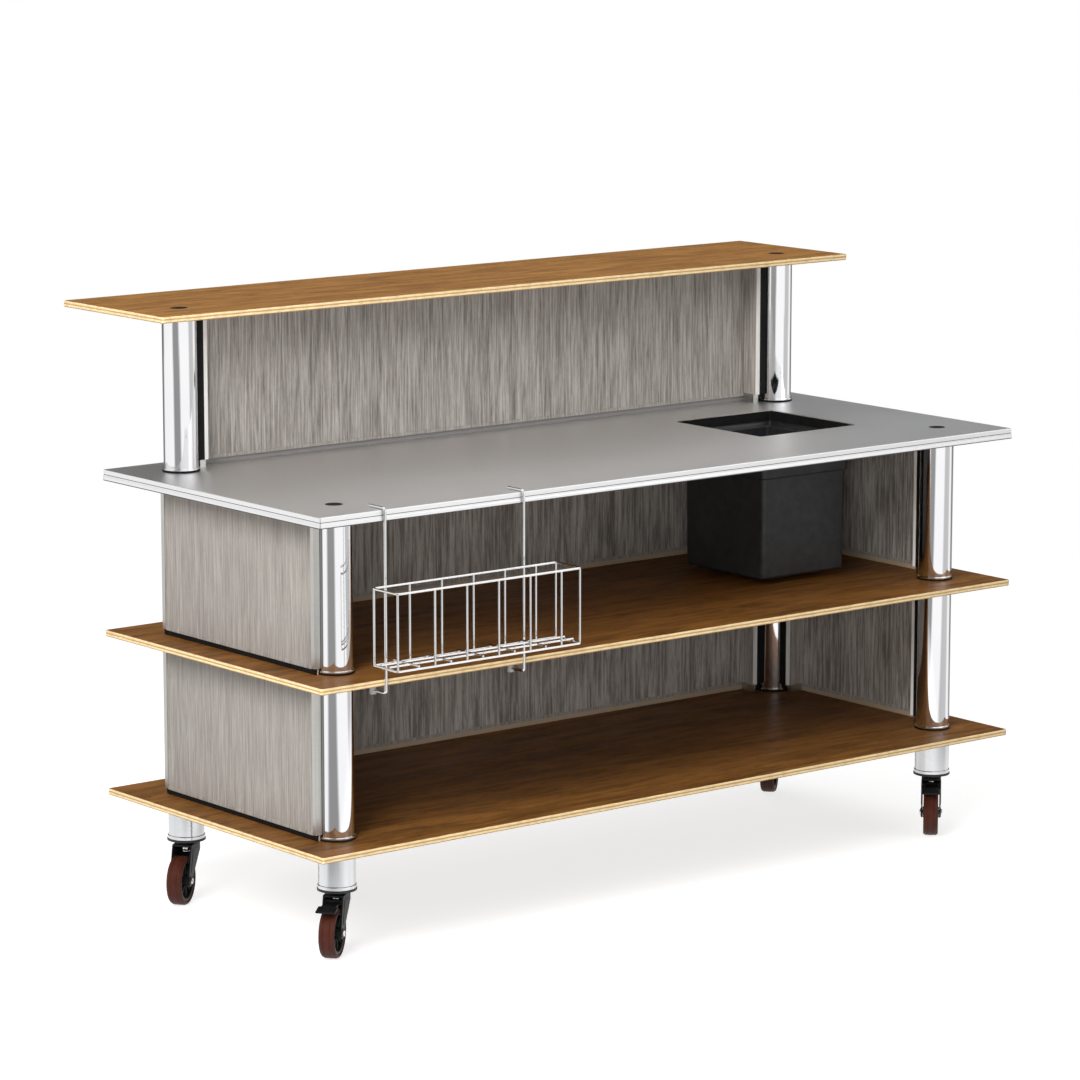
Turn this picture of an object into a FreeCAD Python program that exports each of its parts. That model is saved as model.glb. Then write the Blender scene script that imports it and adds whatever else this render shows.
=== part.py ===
import FreeCAD, Part
import math
import os

import Sketcher
from FreeCAD import Placement, Rotation, Vector

# Mobile bar station: two timber shelves, a stainless worktop and a raised bar top, clamped
# between chrome post tubes by tie rods, with clip-on panels, a lift-out ice bin, a wire
# bottle rack and four swivel casters. Millimetres and degrees, +Z up, the bar side at +Y.
# The origin is on the floor at the centre of the whole outline.

SIZES = (
    # Boards and levels
    ("deck_length", 1830), ("deck_width", 750), ("deck_corner", 5),
    ("shelf_thick", 13), ("worktop_thick", 22), ("edge_round", 2),
    ("skin_thick", 1.2), ("edge_step", 1), ("hem_height", 8), ("skin_bend", 1.8),
    ("bottom_level", 230), ("level_pitch", 330),
    ("bar_end_inset", 2), ("bar_width", 361), ("bar_thick", 13), ("bar_overhang", 137.5),
    # Posts, tie rods and caps
    ("post_end_inset", 115), ("post_side_inset", 114), ("post_dia", 70), ("post_wall", 1.5),
    ("collar_wall", 3), ("collar_height", 8), ("collar_bevel", 1.5), ("fit_gap", 0.1),
    ("spigot_height", 25), ("rod_dia", 12), ("rod_hole_dia", 13),
    ("nut_width", 19), ("nut_height", 6), ("cap_dia", 36), ("cap_thick", 3),
    ("cap_dish", 0.8), ("cap_rim", 2),
    # Foot sleeves
    ("sleeve_dia", 74), ("sleeve_wall", 2), ("bead_wall", 1.5), ("bead_height", 8),
    ("foot_ring_lip", 2.5), ("foot_ring_thick", 4), ("socket_height", 45),
    # Casters
    ("wheel_dia", 100), ("wheel_width", 32), ("caster_rise", 28), ("stem_length", 24),
    ("head_dia", 36), ("head_height", 6), ("crown_gap", 0.3), ("crown_thick", 4),
    ("crown_back", 24), ("crown_front", 30), ("crown_skirt", 18),
    ("kingpin_dia", 12), ("running_gap", 0.05),
    ("dome_dia", 30), ("dome_height", 14), ("dome_bevel", 5),
    ("caster_trail", 38), ("wheel_side_gap", 2), ("fork_plate", 3), ("boss_wall", 8),
    ("axle_dia", 8), ("axle_head_lip", 3), ("axle_head_height", 4), ("axle_head_bevel", 1.5),
    ("hub_wall", 8), ("hub_gap", 0.3), ("web_thick", 8), ("tyre_thick", 8),
    ("rim_thick", 6), ("rim_inset", 2), ("tyre_shoulder", 4),
    ("front_left_turn", 219), ("front_right_turn", 226),
    ("rear_left_turn", 217), ("rear_right_turn", 221),
    # Brake pedals
    ("pivot_reach", 24), ("pivot_drop", 14), ("pivot_dia", 6), ("barrel_dia", 10),
    ("barrel_gap", 0.3), ("pedal_width", 30), ("pedal_thick", 4), ("pedal_reach", 90),
    ("tread_length", 24), ("tread_width", 40), ("tread_droop", 5),
    ("shoe_length", 12), ("shoe_width", 22), ("shoe_gap", 0.5),
    # Panels and their fittings
    ("panel_thick", 12), ("panel_stand_off", 0.5), ("gap_below", 12), ("gap_above", 3),
    ("trim_wall", 1.2), ("side_trim_leg", 10), ("rail_leg", 6),
    ("gasket_gap", 0.3), ("gasket_thick", 12.7), ("gasket_width", 14),
    ("clip_width", 14), ("clip_depth", 44), ("clip_wall", 1.6),
    ("pad_depth", 30), ("pad_set_back", 4),
    # Ice bin and its hanging frame
    ("cutout_inset", 365), ("cutout_shift", 11), ("cutout_length", 276), ("cutout_width", 280),
    ("cutout_corner", 6), ("frame_wall", 2), ("frame_depth", 16), ("frame_flange", 20),
    ("ledge_gap", 1), ("bin_clearance", 2), ("bin_seat_gap", 0.3), ("bin_flange_thick", 4),
    ("bin_end_lip", 12), ("bin_side_lip", 6), ("band_depth", 60), ("band_step", 4),
    ("bin_corner", 10), ("bin_floor_gap", 16), ("bin_draft", 0.6), ("bin_wall", 5),
    ("screw_dia", 4), ("screw_head_dia", 8), ("screw_head_height", 2.5),
    ("screw_length", 14), ("screw_spread", 80),
    # Bottle rack
    ("rack_inset", 112), ("rack_length", 455), ("rack_depth", 80), ("rack_height", 150),
    ("rack_lift", 33), ("rim_wire_dia", 5), ("upright_wire_dia", 4.5), ("rack_corner", 8),
    ("first_upright", 92), ("last_upright", 53), ("weld_gap", 0.05),
    ("hanger_dia", 6), ("edge_gap", 0.5), ("hook_gap", 0.3), ("hook_bend", 6.5),
    ("hook_reach", 45), ("left_hanger_inset", 38), ("right_hanger_inset", 79),
    ("foot_reach", 46), ("foot_drop", 14), ("bumper_dia", 14), ("bumper_height", 22),
)
MIDDLE_UPRIGHTS = 5
FLOOR_WIRES = 2
TOLERANCE = 1e-6

# Places worked out from the sizes. Levels are heights above the floor.
PLACES = (
    ("middle_level", "size.bottom_level + size.level_pitch"),
    ("worktop_level", "place.middle_level + size.level_pitch"),
    ("bar_level", "place.worktop_level + size.level_pitch"),
    ("bottom_under", "size.bottom_level - size.shelf_thick"),
    ("middle_under", "place.middle_level - size.shelf_thick"),
    ("worktop_under", "place.worktop_level - size.worktop_thick"),
    ("bar_under", "place.bar_level - size.bar_thick"),
    ("rod_line", "size.edge_gap + size.hanger_dia / 2"),
    ("rear_grille", "size.edge_gap + size.hanger_dia + size.weld_gap + size.rim_wire_dia / 2"),
    ("front_grille", "place.rear_grille + size.rack_depth"),
    ("rack_reach", "place.front_grille + size.rim_wire_dia / 2"),
    ("deck_mid", "(place.rack_reach - size.bar_overhang) / 2"),
    ("deck_front", "place.deck_mid - size.deck_width / 2"),
    ("bar_mid", "place.deck_mid + size.deck_width / 2 + size.bar_overhang - size.bar_width / 2"),
    ("post_x", "size.deck_length / 2 - size.post_end_inset"),
    ("post_y", "size.deck_width / 2 - size.post_side_inset"),
    ("front_post", "place.deck_mid - place.post_y"),
    ("rear_post", "place.deck_mid + place.post_y"),
    ("counterbore", "size.cap_thick + size.nut_height"),
    ("caster_top", "size.wheel_dia + size.caster_rise"),
    ("sleeve_foot", "place.caster_top + size.foot_ring_thick"),
    ("rod_foot", "place.sleeve_foot + size.stem_length"),
    ("neck_foot", "place.caster_top - size.head_height"),
    ("fork_top", "place.neck_foot - size.crown_gap"),
    ("crown_under", "place.fork_top - size.crown_thick"),
    ("dome_top", "place.crown_under - size.crown_gap"),
    ("dome_foot", "place.dome_top - size.dome_height"),
    ("fork_gap", "size.wheel_width + size.wheel_side_gap * 2"),
    ("fork_width", "place.fork_gap + size.fork_plate * 2"),
    ("axle_level", "size.wheel_dia / 2"),
    ("rim_edge", "size.wheel_dia / 2 - size.tyre_thick"),
    ("rim_half", "size.wheel_width / 2 - size.rim_inset"),
    ("pivot_level", "place.fork_top - size.pivot_drop"),
    ("pedal_top", "place.pivot_level + size.pedal_thick / 2"),
    ("pedal_under", "place.pivot_level - size.pedal_thick / 2"),
    ("tread_start", "size.pedal_reach - size.tread_length"),
    ("panel_offset", "size.post_dia / 2 + size.panel_stand_off + size.trim_wall"),
    ("panel_middle", "place.panel_offset + size.panel_thick / 2"),
    ("end_face", "place.post_x + place.panel_offset"),
    ("back_face", "place.rear_post + place.panel_offset"),
    ("gasket_start", "size.post_dia / 2 + size.gasket_gap"),
    ("clip_start", "place.gasket_start + size.gasket_thick"),
    ("clip_foot", "size.gap_below + size.rail_leg"),
    ("clip_head", "size.gap_above + size.rail_leg"),
    ("cutout_x", "size.deck_length / 2 - size.cutout_inset"),
    ("cutout_y", "place.deck_mid + size.cutout_shift"),
    ("ledge_foot", "place.worktop_under - size.frame_depth"),
    ("bin_seat", "place.ledge_foot + size.frame_wall + size.bin_seat_gap"),
    ("bin_rim", "place.bin_seat + size.bin_flange_thick"),
    ("band_foot", "place.bin_seat - size.band_depth"),
    ("bin_foot", "place.middle_level + size.bin_floor_gap"),
    ("band_x", "size.cutout_length / 2 - size.bin_clearance - size.bin_end_lip"),
    ("band_y", "size.cutout_width / 2 - size.bin_clearance - size.bin_side_lip"),
    ("screw_x", "size.cutout_length / 2 + size.frame_wall + size.frame_flange / 2"),
    ("screw_y", "size.cutout_width / 2 + size.frame_wall + size.frame_flange / 2"),
    ("rack_start", "size.rack_inset - size.deck_length / 2"),
    ("rack_end", "place.rack_start + size.rack_length"),
    ("rack_left", "place.rack_start + size.rim_wire_dia / 2"),
    ("rack_right", "place.rack_end - size.rim_wire_dia / 2"),
    ("upright_start", "place.rack_start + size.first_upright"),
    ("upright_span", "place.rack_end - size.last_upright - place.upright_start"),
    ("rack_rear", "place.deck_front - place.rear_grille"),
    ("rack_front", "place.deck_front - place.front_grille"),
    ("bend_left", "place.rack_left + size.rack_corner"),
    ("bend_right", "place.rack_right - size.rack_corner"),
    ("bend_rise", "size.rack_corner * sqrt(1 / 2)"),
    ("rack_floor", "place.middle_level + size.rack_lift"),
    ("rack_rim", "place.rack_floor + size.rack_height"),
    ("grid_level", "place.rack_floor + (size.rim_wire_dia + size.upright_wire_dia) / 2 + size.weld_gap"),
    ("rod_y", "place.deck_front - place.rod_line"),
    ("hook_level", "place.worktop_level + size.hook_gap + size.hanger_dia / 2"),
    ("foot_level", "place.middle_under - size.foot_drop"),
    ("foot_end", "place.deck_front + size.foot_reach"),
)

# Each bay between two boards, by name: its floor and its ceiling.
BAYS = {
    "lower": ("size.bottom_level", "place.middle_under"),
    "middle": ("place.middle_level", "place.worktop_under"),
    "upper": ("place.worktop_level", "place.bar_under"),
}
LOW_BAYS = ("lower", "middle")
ALL_BAYS = ("lower", "middle", "upper")
# Each row of posts: the bays that it passes and the level of the board that it ends in.
ROWS = {"front": (LOW_BAYS, "place.worktop_level"), "rear": (ALL_BAYS, "place.bar_level")}
# Each post: its name, its row, the sign of its side and its line across the depth.
POSTS = (
    ("front_left", "front", "-", "place.front_post"),
    ("front_right", "front", "", "place.front_post"),
    ("rear_left", "rear", "-", "place.rear_post"),
    ("rear_right", "rear", "", "place.rear_post"),
)
# Each side of the station that has panels, and the bays that they fill.
PANEL_SIDES = {"left": LOW_BAYS, "right": LOW_BAYS, "back": ALL_BAYS}
BRAKED = ("front_left", "front_right")

document = FreeCAD.newDocument("bar_station")
nodes = []


def fill_sheet(name, rows):
    """Make a spreadsheet with one named cell per row."""
    sheet = document.addObject("Spreadsheet::Sheet", name)
    for row, (alias, content) in enumerate(rows, 1):
        sheet.set(f"A{row}", alias)
        sheet.set(f"B{row}", str(content))
        sheet.setAlias(f"B{row}", alias)
    return sheet


size = fill_sheet("size", SIZES)
place = fill_sheet("place", [(alias, "=" + formula) for alias, formula in PLACES])
work = document.addObject("Spreadsheet::Sheet", "work")
document.recompute()


def number(formula):
    """Return a formula's value now, read through a working cell."""
    work.set("A1", "=" + formula)
    work.recompute()
    return float(work.get("A1"))


def bind(item, **formulas):
    """Tie an object's properties to formulas; x, y, z and turn set its placement."""
    paths = {"x": "Placement.Base.x", "y": "Placement.Base.y", "z": "Placement.Base.z",
             "turn": "Placement.Rotation.Angle"}
    for name, formula in formulas.items():
        item.setExpression(paths.get(name, name), formula)
    return item


def node(label, item):
    """Name a finished sub-part and keep it for export."""
    item.Label = label
    nodes.append(item)
    return item


def group(label, members):
    """Make one node of several separate solids."""
    bundle = document.addObject("Part::Compound", label)
    bundle.Links = members
    return node(label, bundle)


def box(name, x, y, z, length, width, height):
    """Make a box from its low corner and its extents."""
    item = document.addObject("Part::Box", name)
    return bind(item, x=x, y=y, z=z, Length=length, Width=width, Height=height)


def rod(name, direction, radius, length, x, y, z):
    """Make a cylinder that runs from a point along X, Y or Z."""
    item = document.addObject("Part::Cylinder", name)
    axis = {"X": Vector(1, 0, 0), "Y": Vector(0, 1, 0), "Z": Vector(0, 0, 1)}[direction]
    item.Placement = Placement(Vector(), Rotation(Vector(0, 0, 1), axis))
    return bind(item, Radius=radius, Height=length, x=x, y=y, z=z)


def elbow(name, bend, radius, x, y, z, rotation):
    """Make a quarter bend of round wire about a centre, from its own +X to its own +Y."""
    item = document.addObject("Part::Torus", name)
    item.Angle3 = math.degrees(math.pi / 2)
    item.Placement = Placement(Vector(), rotation)
    return bind(item, Radius1=bend, Radius2=radius, x=x, y=y, z=z)


def cut(name, base, tool):
    """Take one solid away from another."""
    item = document.addObject("Part::Cut", name)
    item.Base = base
    item.Tool = tool
    return item


def fuse(name, members):
    """Join solids into one."""
    item = document.addObject("Part::MultiFuse", name)
    item.Shapes = members
    item.Refine = True
    return item


def copy_of(name, source, **formulas):
    """Place a copy of a sub-part; x, y, z and turn are formulas."""
    item = document.addObject("App::Link", name)
    item.LinkedObject = source
    item.LinkTransform = True
    item.Placement = Placement(Vector(), Rotation(Vector(0, 0, 1), 1))
    return bind(item, **{"turn": "0", **formulas})


def new_body(name):
    """Start a part-design body."""
    return document.addObject("PartDesign::Body", name)


def new_sketch(body, name, role="XY_Plane", height=None, x=None, y=None):
    """Start a sketch on one of the body's own planes, shifted by formulas."""
    sketch = body.newObject("Sketcher::SketchObject", name)
    plane = [item for item in body.Origin.OriginFeatures if item.Role == role][0]
    sketch.AttachmentSupport = (plane, [""])
    sketch.MapMode = "FlatFace"
    for axis, formula in (("x", x), ("y", y), ("z", height)):
        if formula:
            sketch.setExpression(f"AttachmentOffset.Base.{axis}", formula)
    return sketch


def dimension(sketch, name, constraint, formula):
    """Add a named dimension that follows a formula."""
    index = sketch.addConstraint(constraint)
    sketch.renameConstraint(index, name)
    sketch.setExpression(f"Constraints.{name}", formula)


def draw_rounded_rectangle(sketch, half_x, half_y, radius):
    """Draw a centred rectangle with round corners in a sketch."""
    wide, deep, round_off = number(half_x), number(half_y), number(radius)
    arcs = []
    for quarter, (side_x, side_y) in enumerate(((1, 1), (-1, 1), (-1, -1), (1, -1))):
        centre = Vector(side_x * (wide - round_off), side_y * (deep - round_off), 0)
        circle = Part.Circle(centre, Vector(0, 0, 1), round_off)
        begin = quarter * math.pi / 2
        arcs.append(Part.ArcOfCircle(circle, begin, begin + math.pi / 2))
    shapes = []
    for index, arc in enumerate(arcs):
        shapes.append(Part.LineSegment(arcs[index - 1].EndPoint, arc.StartPoint))
        shapes.append(arc)
    first = sketch.addGeometry(shapes, False)[0]
    count = len(shapes)
    for index in range(count):
        following = first + (index + 1) % count
        sketch.addConstraint(Sketcher.Constraint("Tangent", first + index, 2, following, 1))
    right, top, left, bottom = first, first + 2, first + 4, first + 6
    for line, direction in ((right, "Vertical"), (top, "Horizontal"),
                            (left, "Vertical"), (bottom, "Horizontal")):
        sketch.addConstraint(Sketcher.Constraint(direction, line))
    for line in (top, left, bottom):
        sketch.addConstraint(Sketcher.Constraint("Equal", right + 1, line + 1))
    dimension(sketch, "corner", Sketcher.Constraint("Radius", right + 1, round_off), radius)
    dimension(sketch, "right", Sketcher.Constraint("DistanceX", -1, 1, right, 1, wide), half_x)
    dimension(sketch, "left", Sketcher.Constraint("DistanceX", left, 1, -1, 1, wide), half_x)
    dimension(sketch, "top", Sketcher.Constraint("DistanceY", -1, 1, top, 1, deep), half_y)
    dimension(sketch, "bottom", Sketcher.Constraint("DistanceY", bottom, 1, -1, 1, deep), half_y)


def draw_polygon(sketch, points):
    """Draw a closed outline through points whose coordinates are formulas."""
    spots = [Vector(number(x), number(y), 0) for x, y in points]
    lines = [Part.LineSegment(spot, spots[(index + 1) % len(spots)])
             for index, spot in enumerate(spots)]
    first = sketch.addGeometry(lines, False)[0]
    for index, (x, y) in enumerate(points):
        line, following = first + index, first + (index + 1) % len(points)
        sketch.addConstraint(Sketcher.Constraint("Coincident", line, 2, following, 1))
        across = Sketcher.Constraint("DistanceX", -1, 1, line, 1, spots[index].x)
        along = Sketcher.Constraint("DistanceY", -1, 1, line, 1, spots[index].y)
        dimension(sketch, f"across_{index}", across, x)
        dimension(sketch, f"along_{index}", along, y)


def draw_circles(sketch, circles):
    """Draw circles whose centres and radii are formulas."""
    for index, (x, y, radius) in enumerate(circles):
        centre = Vector(number(x), number(y), 0)
        reach = number(radius)
        shape = sketch.addGeometry(Part.Circle(centre, Vector(0, 0, 1), reach), False)
        across = Sketcher.Constraint("DistanceX", -1, 1, shape, 3, centre.x)
        along = Sketcher.Constraint("DistanceY", -1, 1, shape, 3, centre.y)
        dimension(sketch, f"hole_x_{index}", across, x)
        dimension(sketch, f"hole_y_{index}", along, y)
        dimension(sketch, f"hole_{index}", Sketcher.Constraint("Radius", shape, reach), radius)


def pad(body, sketch, length, reversed_way=False, midplane=False, taper=None):
    """Raise a sketch into a solid."""
    item = body.newObject("PartDesign::Pad", sketch.Name + "_pad")
    item.Profile = sketch
    item.Reversed = reversed_way
    item.Midplane = midplane
    item.setExpression("Length", length)
    if taper:
        item.setExpression("TaperAngle", taper)
    sketch.Visibility = False
    return item


def pocket(body, sketch, length=None, reversed_way=False, midplane=False, taper=None):
    """Cut a sketch out of the body, to a depth or right through."""
    item = body.newObject("PartDesign::Pocket", sketch.Name + "_pocket")
    item.Profile = sketch
    item.Reversed = reversed_way
    item.Midplane = midplane
    if length:
        item.setExpression("Length", length)
    else:
        item.Type = "ThroughAll"
    if taper:
        item.setExpression("TaperAngle", taper)
    return item


def round_faces(body, base, radius, heights):
    """Round every edge of the flat faces that lie at the given heights of a body."""
    document.recompute()
    levels = [number(height) for height in heights]
    names = []
    for index, face in enumerate(base.Shape.Faces, 1):
        bounds = face.BoundBox
        distances = [abs(bounds.ZMin - level) + bounds.ZLength for level in levels]
        if min(distances) < TOLERANCE:
            names.append(f"Face{index}")
    item = body.newObject("PartDesign::Fillet", base.Name + "_round")
    item.Base = (base, names)
    item.setExpression("Radius", radius)
    return item


def revolve(body, sketch):
    """Turn a sketch about its own vertical axis."""
    item = body.newObject("PartDesign::Revolution", sketch.Name + "_turned")
    item.Profile = sketch
    item.ReferenceAxis = (sketch, ["V_Axis"])
    item.Angle = math.degrees(2 * math.pi)
    return item


def turned(name, points, role="XZ_Plane", **offsets):
    """Make a body of revolution from its radius and height pairs, about Z or on XY about Y."""
    body = new_body(name)
    sketch = new_sketch(body, name + "_section", role, **offsets)
    draw_polygon(sketch, points)
    revolve(body, sketch)
    return body


def annulus(name, outer, inner, low, high):
    """Make a ring or tube about the Z axis from its radii and heights."""
    return turned(name, [(inner, low), (outer, low), (outer, high), (inner, high)])


def at_posts(name, source, rows=("front", "rear")):
    """Place one copy of a sub-part at each post of the given rows, by the post's name."""
    return {post: copy_of(f"{post}_{name}", source, x=f"{side}place.post_x", y=line)
            for post, row, side, line in POSTS if row in rows}


def post_holes(y_lines):
    """List the four or two places of the posts on a board as circle centres."""
    return [(f"{side}place.post_x", line) for line in y_lines for side in ("-", "")]


def drill(body, name, height, centres, radius, depth=None):
    """Drill round holes down into a board from a height, to a depth or right through."""
    sketch = new_sketch(body, name, height=height)
    draw_circles(sketch, [(x, y, radius) for x, y in centres])
    return pocket(body, sketch, depth)


def slab(name, half_x, half_y, corner, thick, mid_y, level):
    """Start a board with round corners: its body and its first pad."""
    body = new_body(name)
    bind(body, y=mid_y, z=level)
    sketch = new_sketch(body, name + "_outline")
    draw_rounded_rectangle(sketch, half_x, half_y, corner)
    return body, pad(body, sketch, thick)


def make_shelf(name, level):
    """Make a plywood shelf: its edges are eased and the tie rods pass through it."""
    body, blank = slab(name, "size.deck_length / 2", "size.deck_width / 2", "size.deck_corner",
                       "size.shelf_thick", "place.deck_mid", f"{level} - size.shelf_thick")
    round_faces(body, blank, "size.edge_round", ("0", "size.shelf_thick"))
    lines = ("-place.post_y", "place.post_y")
    drill(body, name + "_rod_holes", "size.shelf_thick", post_holes(lines), "size.rod_hole_dia / 2")
    node(name, body)


def make_bar_top():
    """Make the raised bar top, with counterbores for the rear posts' nuts and caps."""
    body, blank = slab("bar_top", "size.deck_length / 2 - size.bar_end_inset", "size.bar_width / 2", "size.deck_corner",
                       "size.bar_thick", "place.bar_mid", "place.bar_under")
    round_faces(body, blank, "size.edge_round", ("0", "size.bar_thick"))
    centres = post_holes(("place.rear_post - place.bar_mid",))
    drill(body, "bar_rod_holes", "size.bar_thick", centres, "size.rod_hole_dia / 2")
    drill(body, "bar_counterbores", "size.bar_thick", centres,
          "size.cap_dia / 2 + size.fit_gap", "place.counterbore")
    node("bar_top", body)


def cut_opening(body, name, height):
    """Cut the opening for the ice bin through the worktop from a height."""
    sketch = new_sketch(body, name, height=height, x="place.cutout_x", y="size.cutout_shift")
    draw_rounded_rectangle(sketch, "size.cutout_length / 2", "size.cutout_width / 2",
                           "size.cutout_corner")
    pocket(body, sketch)


def make_worktop():
    """Make the worktop: a plywood core in a folded stainless skin with a two-step edge."""
    half_x, half_y = "size.deck_length / 2", "size.deck_width / 2"
    inset = "(size.edge_step + size.skin_thick)"
    core_height = "size.worktop_thick - size.skin_thick"
    core_form = (f"{half_x} - {inset}", f"{half_y} - {inset}", f"size.deck_corner - {inset}",
                 core_height, "place.deck_mid", "place.worktop_under")
    front = post_holes(("-place.post_y",))
    rear = post_holes(("place.post_y",))
    cap_radius = "size.cap_dia / 2 + size.fit_gap"
    hole_radius = "size.rod_hole_dia / 2"

    core, _ = slab("worktop_core", *core_form)
    cut_opening(core, "core_opening", core_height)
    drill(core, "core_rod_holes", core_height, front + rear, hole_radius)
    drill(core, "core_counterbores", core_height, front, cap_radius,
          "place.counterbore - size.skin_thick")
    pilots = new_sketch(core, "core_pilots")
    draw_circles(pilots, [(f"place.cutout_x + {x}", f"size.cutout_shift + {y}",
                           "size.screw_dia / 2 + size.running_gap") for x, y in screw_places()])
    pocket(core, pilots, "size.screw_length", reversed_way=True)
    node("worktop_core", core)

    blank, _ = slab("worktop_blank", *core_form)
    shell, _ = slab("worktop_shell", half_x, half_y, "size.deck_corner", "size.hem_height",
                    "place.deck_mid", "place.worktop_under")
    band = new_sketch(shell, "upper_band", height="size.hem_height")
    draw_rounded_rectangle(band, f"{half_x} - size.edge_step", f"{half_y} - size.edge_step",
                           "size.deck_corner - size.edge_step")
    upper = pad(shell, band, "size.worktop_thick - size.hem_height")
    round_faces(shell, upper, "size.skin_bend", ("size.worktop_thick",))
    cut_opening(shell, "skin_opening", "size.worktop_thick")
    drill(shell, "skin_cap_holes", "size.worktop_thick", front, cap_radius)
    drill(shell, "skin_rod_holes", "size.worktop_thick", rear, hole_radius)
    node("worktop_skin", cut("worktop_skin", shell, blank))


def make_posts():
    """Make the post tubes, and the collars and spigots at their ends."""
    tube_radius = "size.post_dia / 2"
    bore_radius = f"{tube_radius} - size.post_wall"
    fit_radius = f"{tube_radius} + size.fit_gap"
    collar_radius = f"{tube_radius} + size.collar_wall"
    tubes, collars, spigots = {}, [], []
    for name, (floor, ceiling) in BAYS.items():
        rows = [row for row, (bays, _) in ROWS.items() if name in bays]
        tube = annulus(f"{name}_tube", tube_radius, bore_radius, floor, ceiling)
        for post, copy in at_posts(f"{name}_tube", tube, rows).items():
            tubes.setdefault(post, []).append(copy)
        collar = turned(f"{name}_collar", [
            (fit_radius, floor), (collar_radius, floor),
            (collar_radius, f"{floor} + size.collar_height - size.collar_bevel"),
            (f"{collar_radius} - size.collar_bevel", f"{floor} + size.collar_height"),
            (fit_radius, f"{floor} + size.collar_height")])
        collars += at_posts(f"{name}_collar", collar, rows).values()
        for end, low, high in (("foot", floor, f"{floor} + size.spigot_height"),
                               ("head", f"{ceiling} - size.spigot_height", ceiling)):
            spigot = annulus(f"{name}_{end}_spigot", f"{bore_radius} - size.fit_gap",
                             "size.rod_hole_dia / 2", low, high)
            spigots += at_posts(f"{name}_{end}_spigot", spigot, rows).values()
    for post, *_ in POSTS:
        group(f"{post}_post", tubes[post])
    group("post_collars", collars)
    group("post_spigots", spigots)


def make_tie_rods():
    """Make the rods that clamp the boards to the posts, with their nuts and flush caps."""
    rods, nuts, caps = [], [], []
    radius = "size.rod_dia / 2"
    for row, (_, level) in ROWS.items():
        cap_foot = f"{level} - size.cap_thick"
        tie = rod(f"{row}_tie_rod", "Z", radius, f"{cap_foot} - place.rod_foot", "0", "0",
                  "place.rod_foot")
        blank = document.addObject("Part::Prism", f"{row}_nut_blank")
        blank.Polygon = 6
        bind(blank, Circumradius="size.nut_width / sqrt(3)", Height="size.nut_height",
             z=f"{level} - place.counterbore")
        bore = rod(f"{row}_nut_bore", "Z", f"{radius} + size.running_gap", "size.nut_height",
                   "0", "0", f"{level} - place.counterbore")
        rim = "size.cap_dia / 2 - size.cap_rim"
        cap = turned(f"{row}_cap", [
            ("0", cap_foot), ("size.cap_dia / 2", cap_foot), ("size.cap_dia / 2", level),
            (rim, level), (f"{rim} - size.cap_dish", f"{level} - size.cap_dish"),
            ("0", f"{level} - size.cap_dish")])
        rods += at_posts("tie_rod", tie, (row,)).values()
        nuts += at_posts("nut", cut(f"{row}_nut", blank, bore), (row,)).values()
        caps += at_posts("cap", cap, (row,)).values()
    group("tie_rods", rods)
    group("tie_rod_nuts", nuts)
    group("post_caps", caps)


def make_feet():
    """Make the sleeve, ring and socket that join each post to its caster."""
    outer = "size.sleeve_dia / 2"
    inner = f"{outer} - size.sleeve_wall"
    bead = f"{outer} + size.bead_wall"
    foot, head = "place.sleeve_foot", "place.bottom_under"
    sleeve = turned("foot_sleeve", [
        (inner, foot), (bead, foot), (bead, f"{foot} + size.bead_height"),
        (outer, f"{foot} + size.bead_height + size.bead_wall"),
        (outer, f"{head} - size.bead_height - size.bead_wall"),
        (bead, f"{head} - size.bead_height"), (bead, head), (inner, head)])
    ring = annulus("foot_ring", f"{outer} + size.foot_ring_lip", "size.rod_hole_dia / 2",
                   "place.caster_top", foot)
    socket = annulus("foot_socket", f"{inner} - size.fit_gap",
                     "size.rod_dia / 2 + size.running_gap", foot, f"{foot} + size.socket_height")
    group("foot_sleeves", list(at_posts("sleeve", sleeve).values()))
    group("foot_rings", list(at_posts("foot_ring", ring).values()))
    group("foot_sockets", list(at_posts("socket", socket).values()))


def make_caster_heads():
    """Make the fixed part of each caster: stem, neck, kingpin and the dome under the fork."""
    pin, neck, dome = "size.kingpin_dia / 2", "size.head_dia / 2", "size.dome_dia / 2"
    stem_head = "place.caster_top + size.stem_length"
    head = turned("caster_head", [
        ("0", "place.dome_foot"), (f"{dome} - size.dome_bevel", "place.dome_foot"),
        (dome, "place.dome_foot + size.dome_bevel"), (dome, "place.dome_top"),
        (pin, "place.dome_top"), (pin, "place.neck_foot"), (neck, "place.neck_foot"),
        (neck, "place.caster_top"), (pin, "place.caster_top"), (pin, stem_head),
        ("0", stem_head)])
    group("caster_heads", list(at_posts("caster_head", head).values()))


def side_sketch(body, name):
    """Start a sketch on the caster's middle plane: along the trail and up."""
    return new_sketch(body, name, "XZ_Plane")


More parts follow.
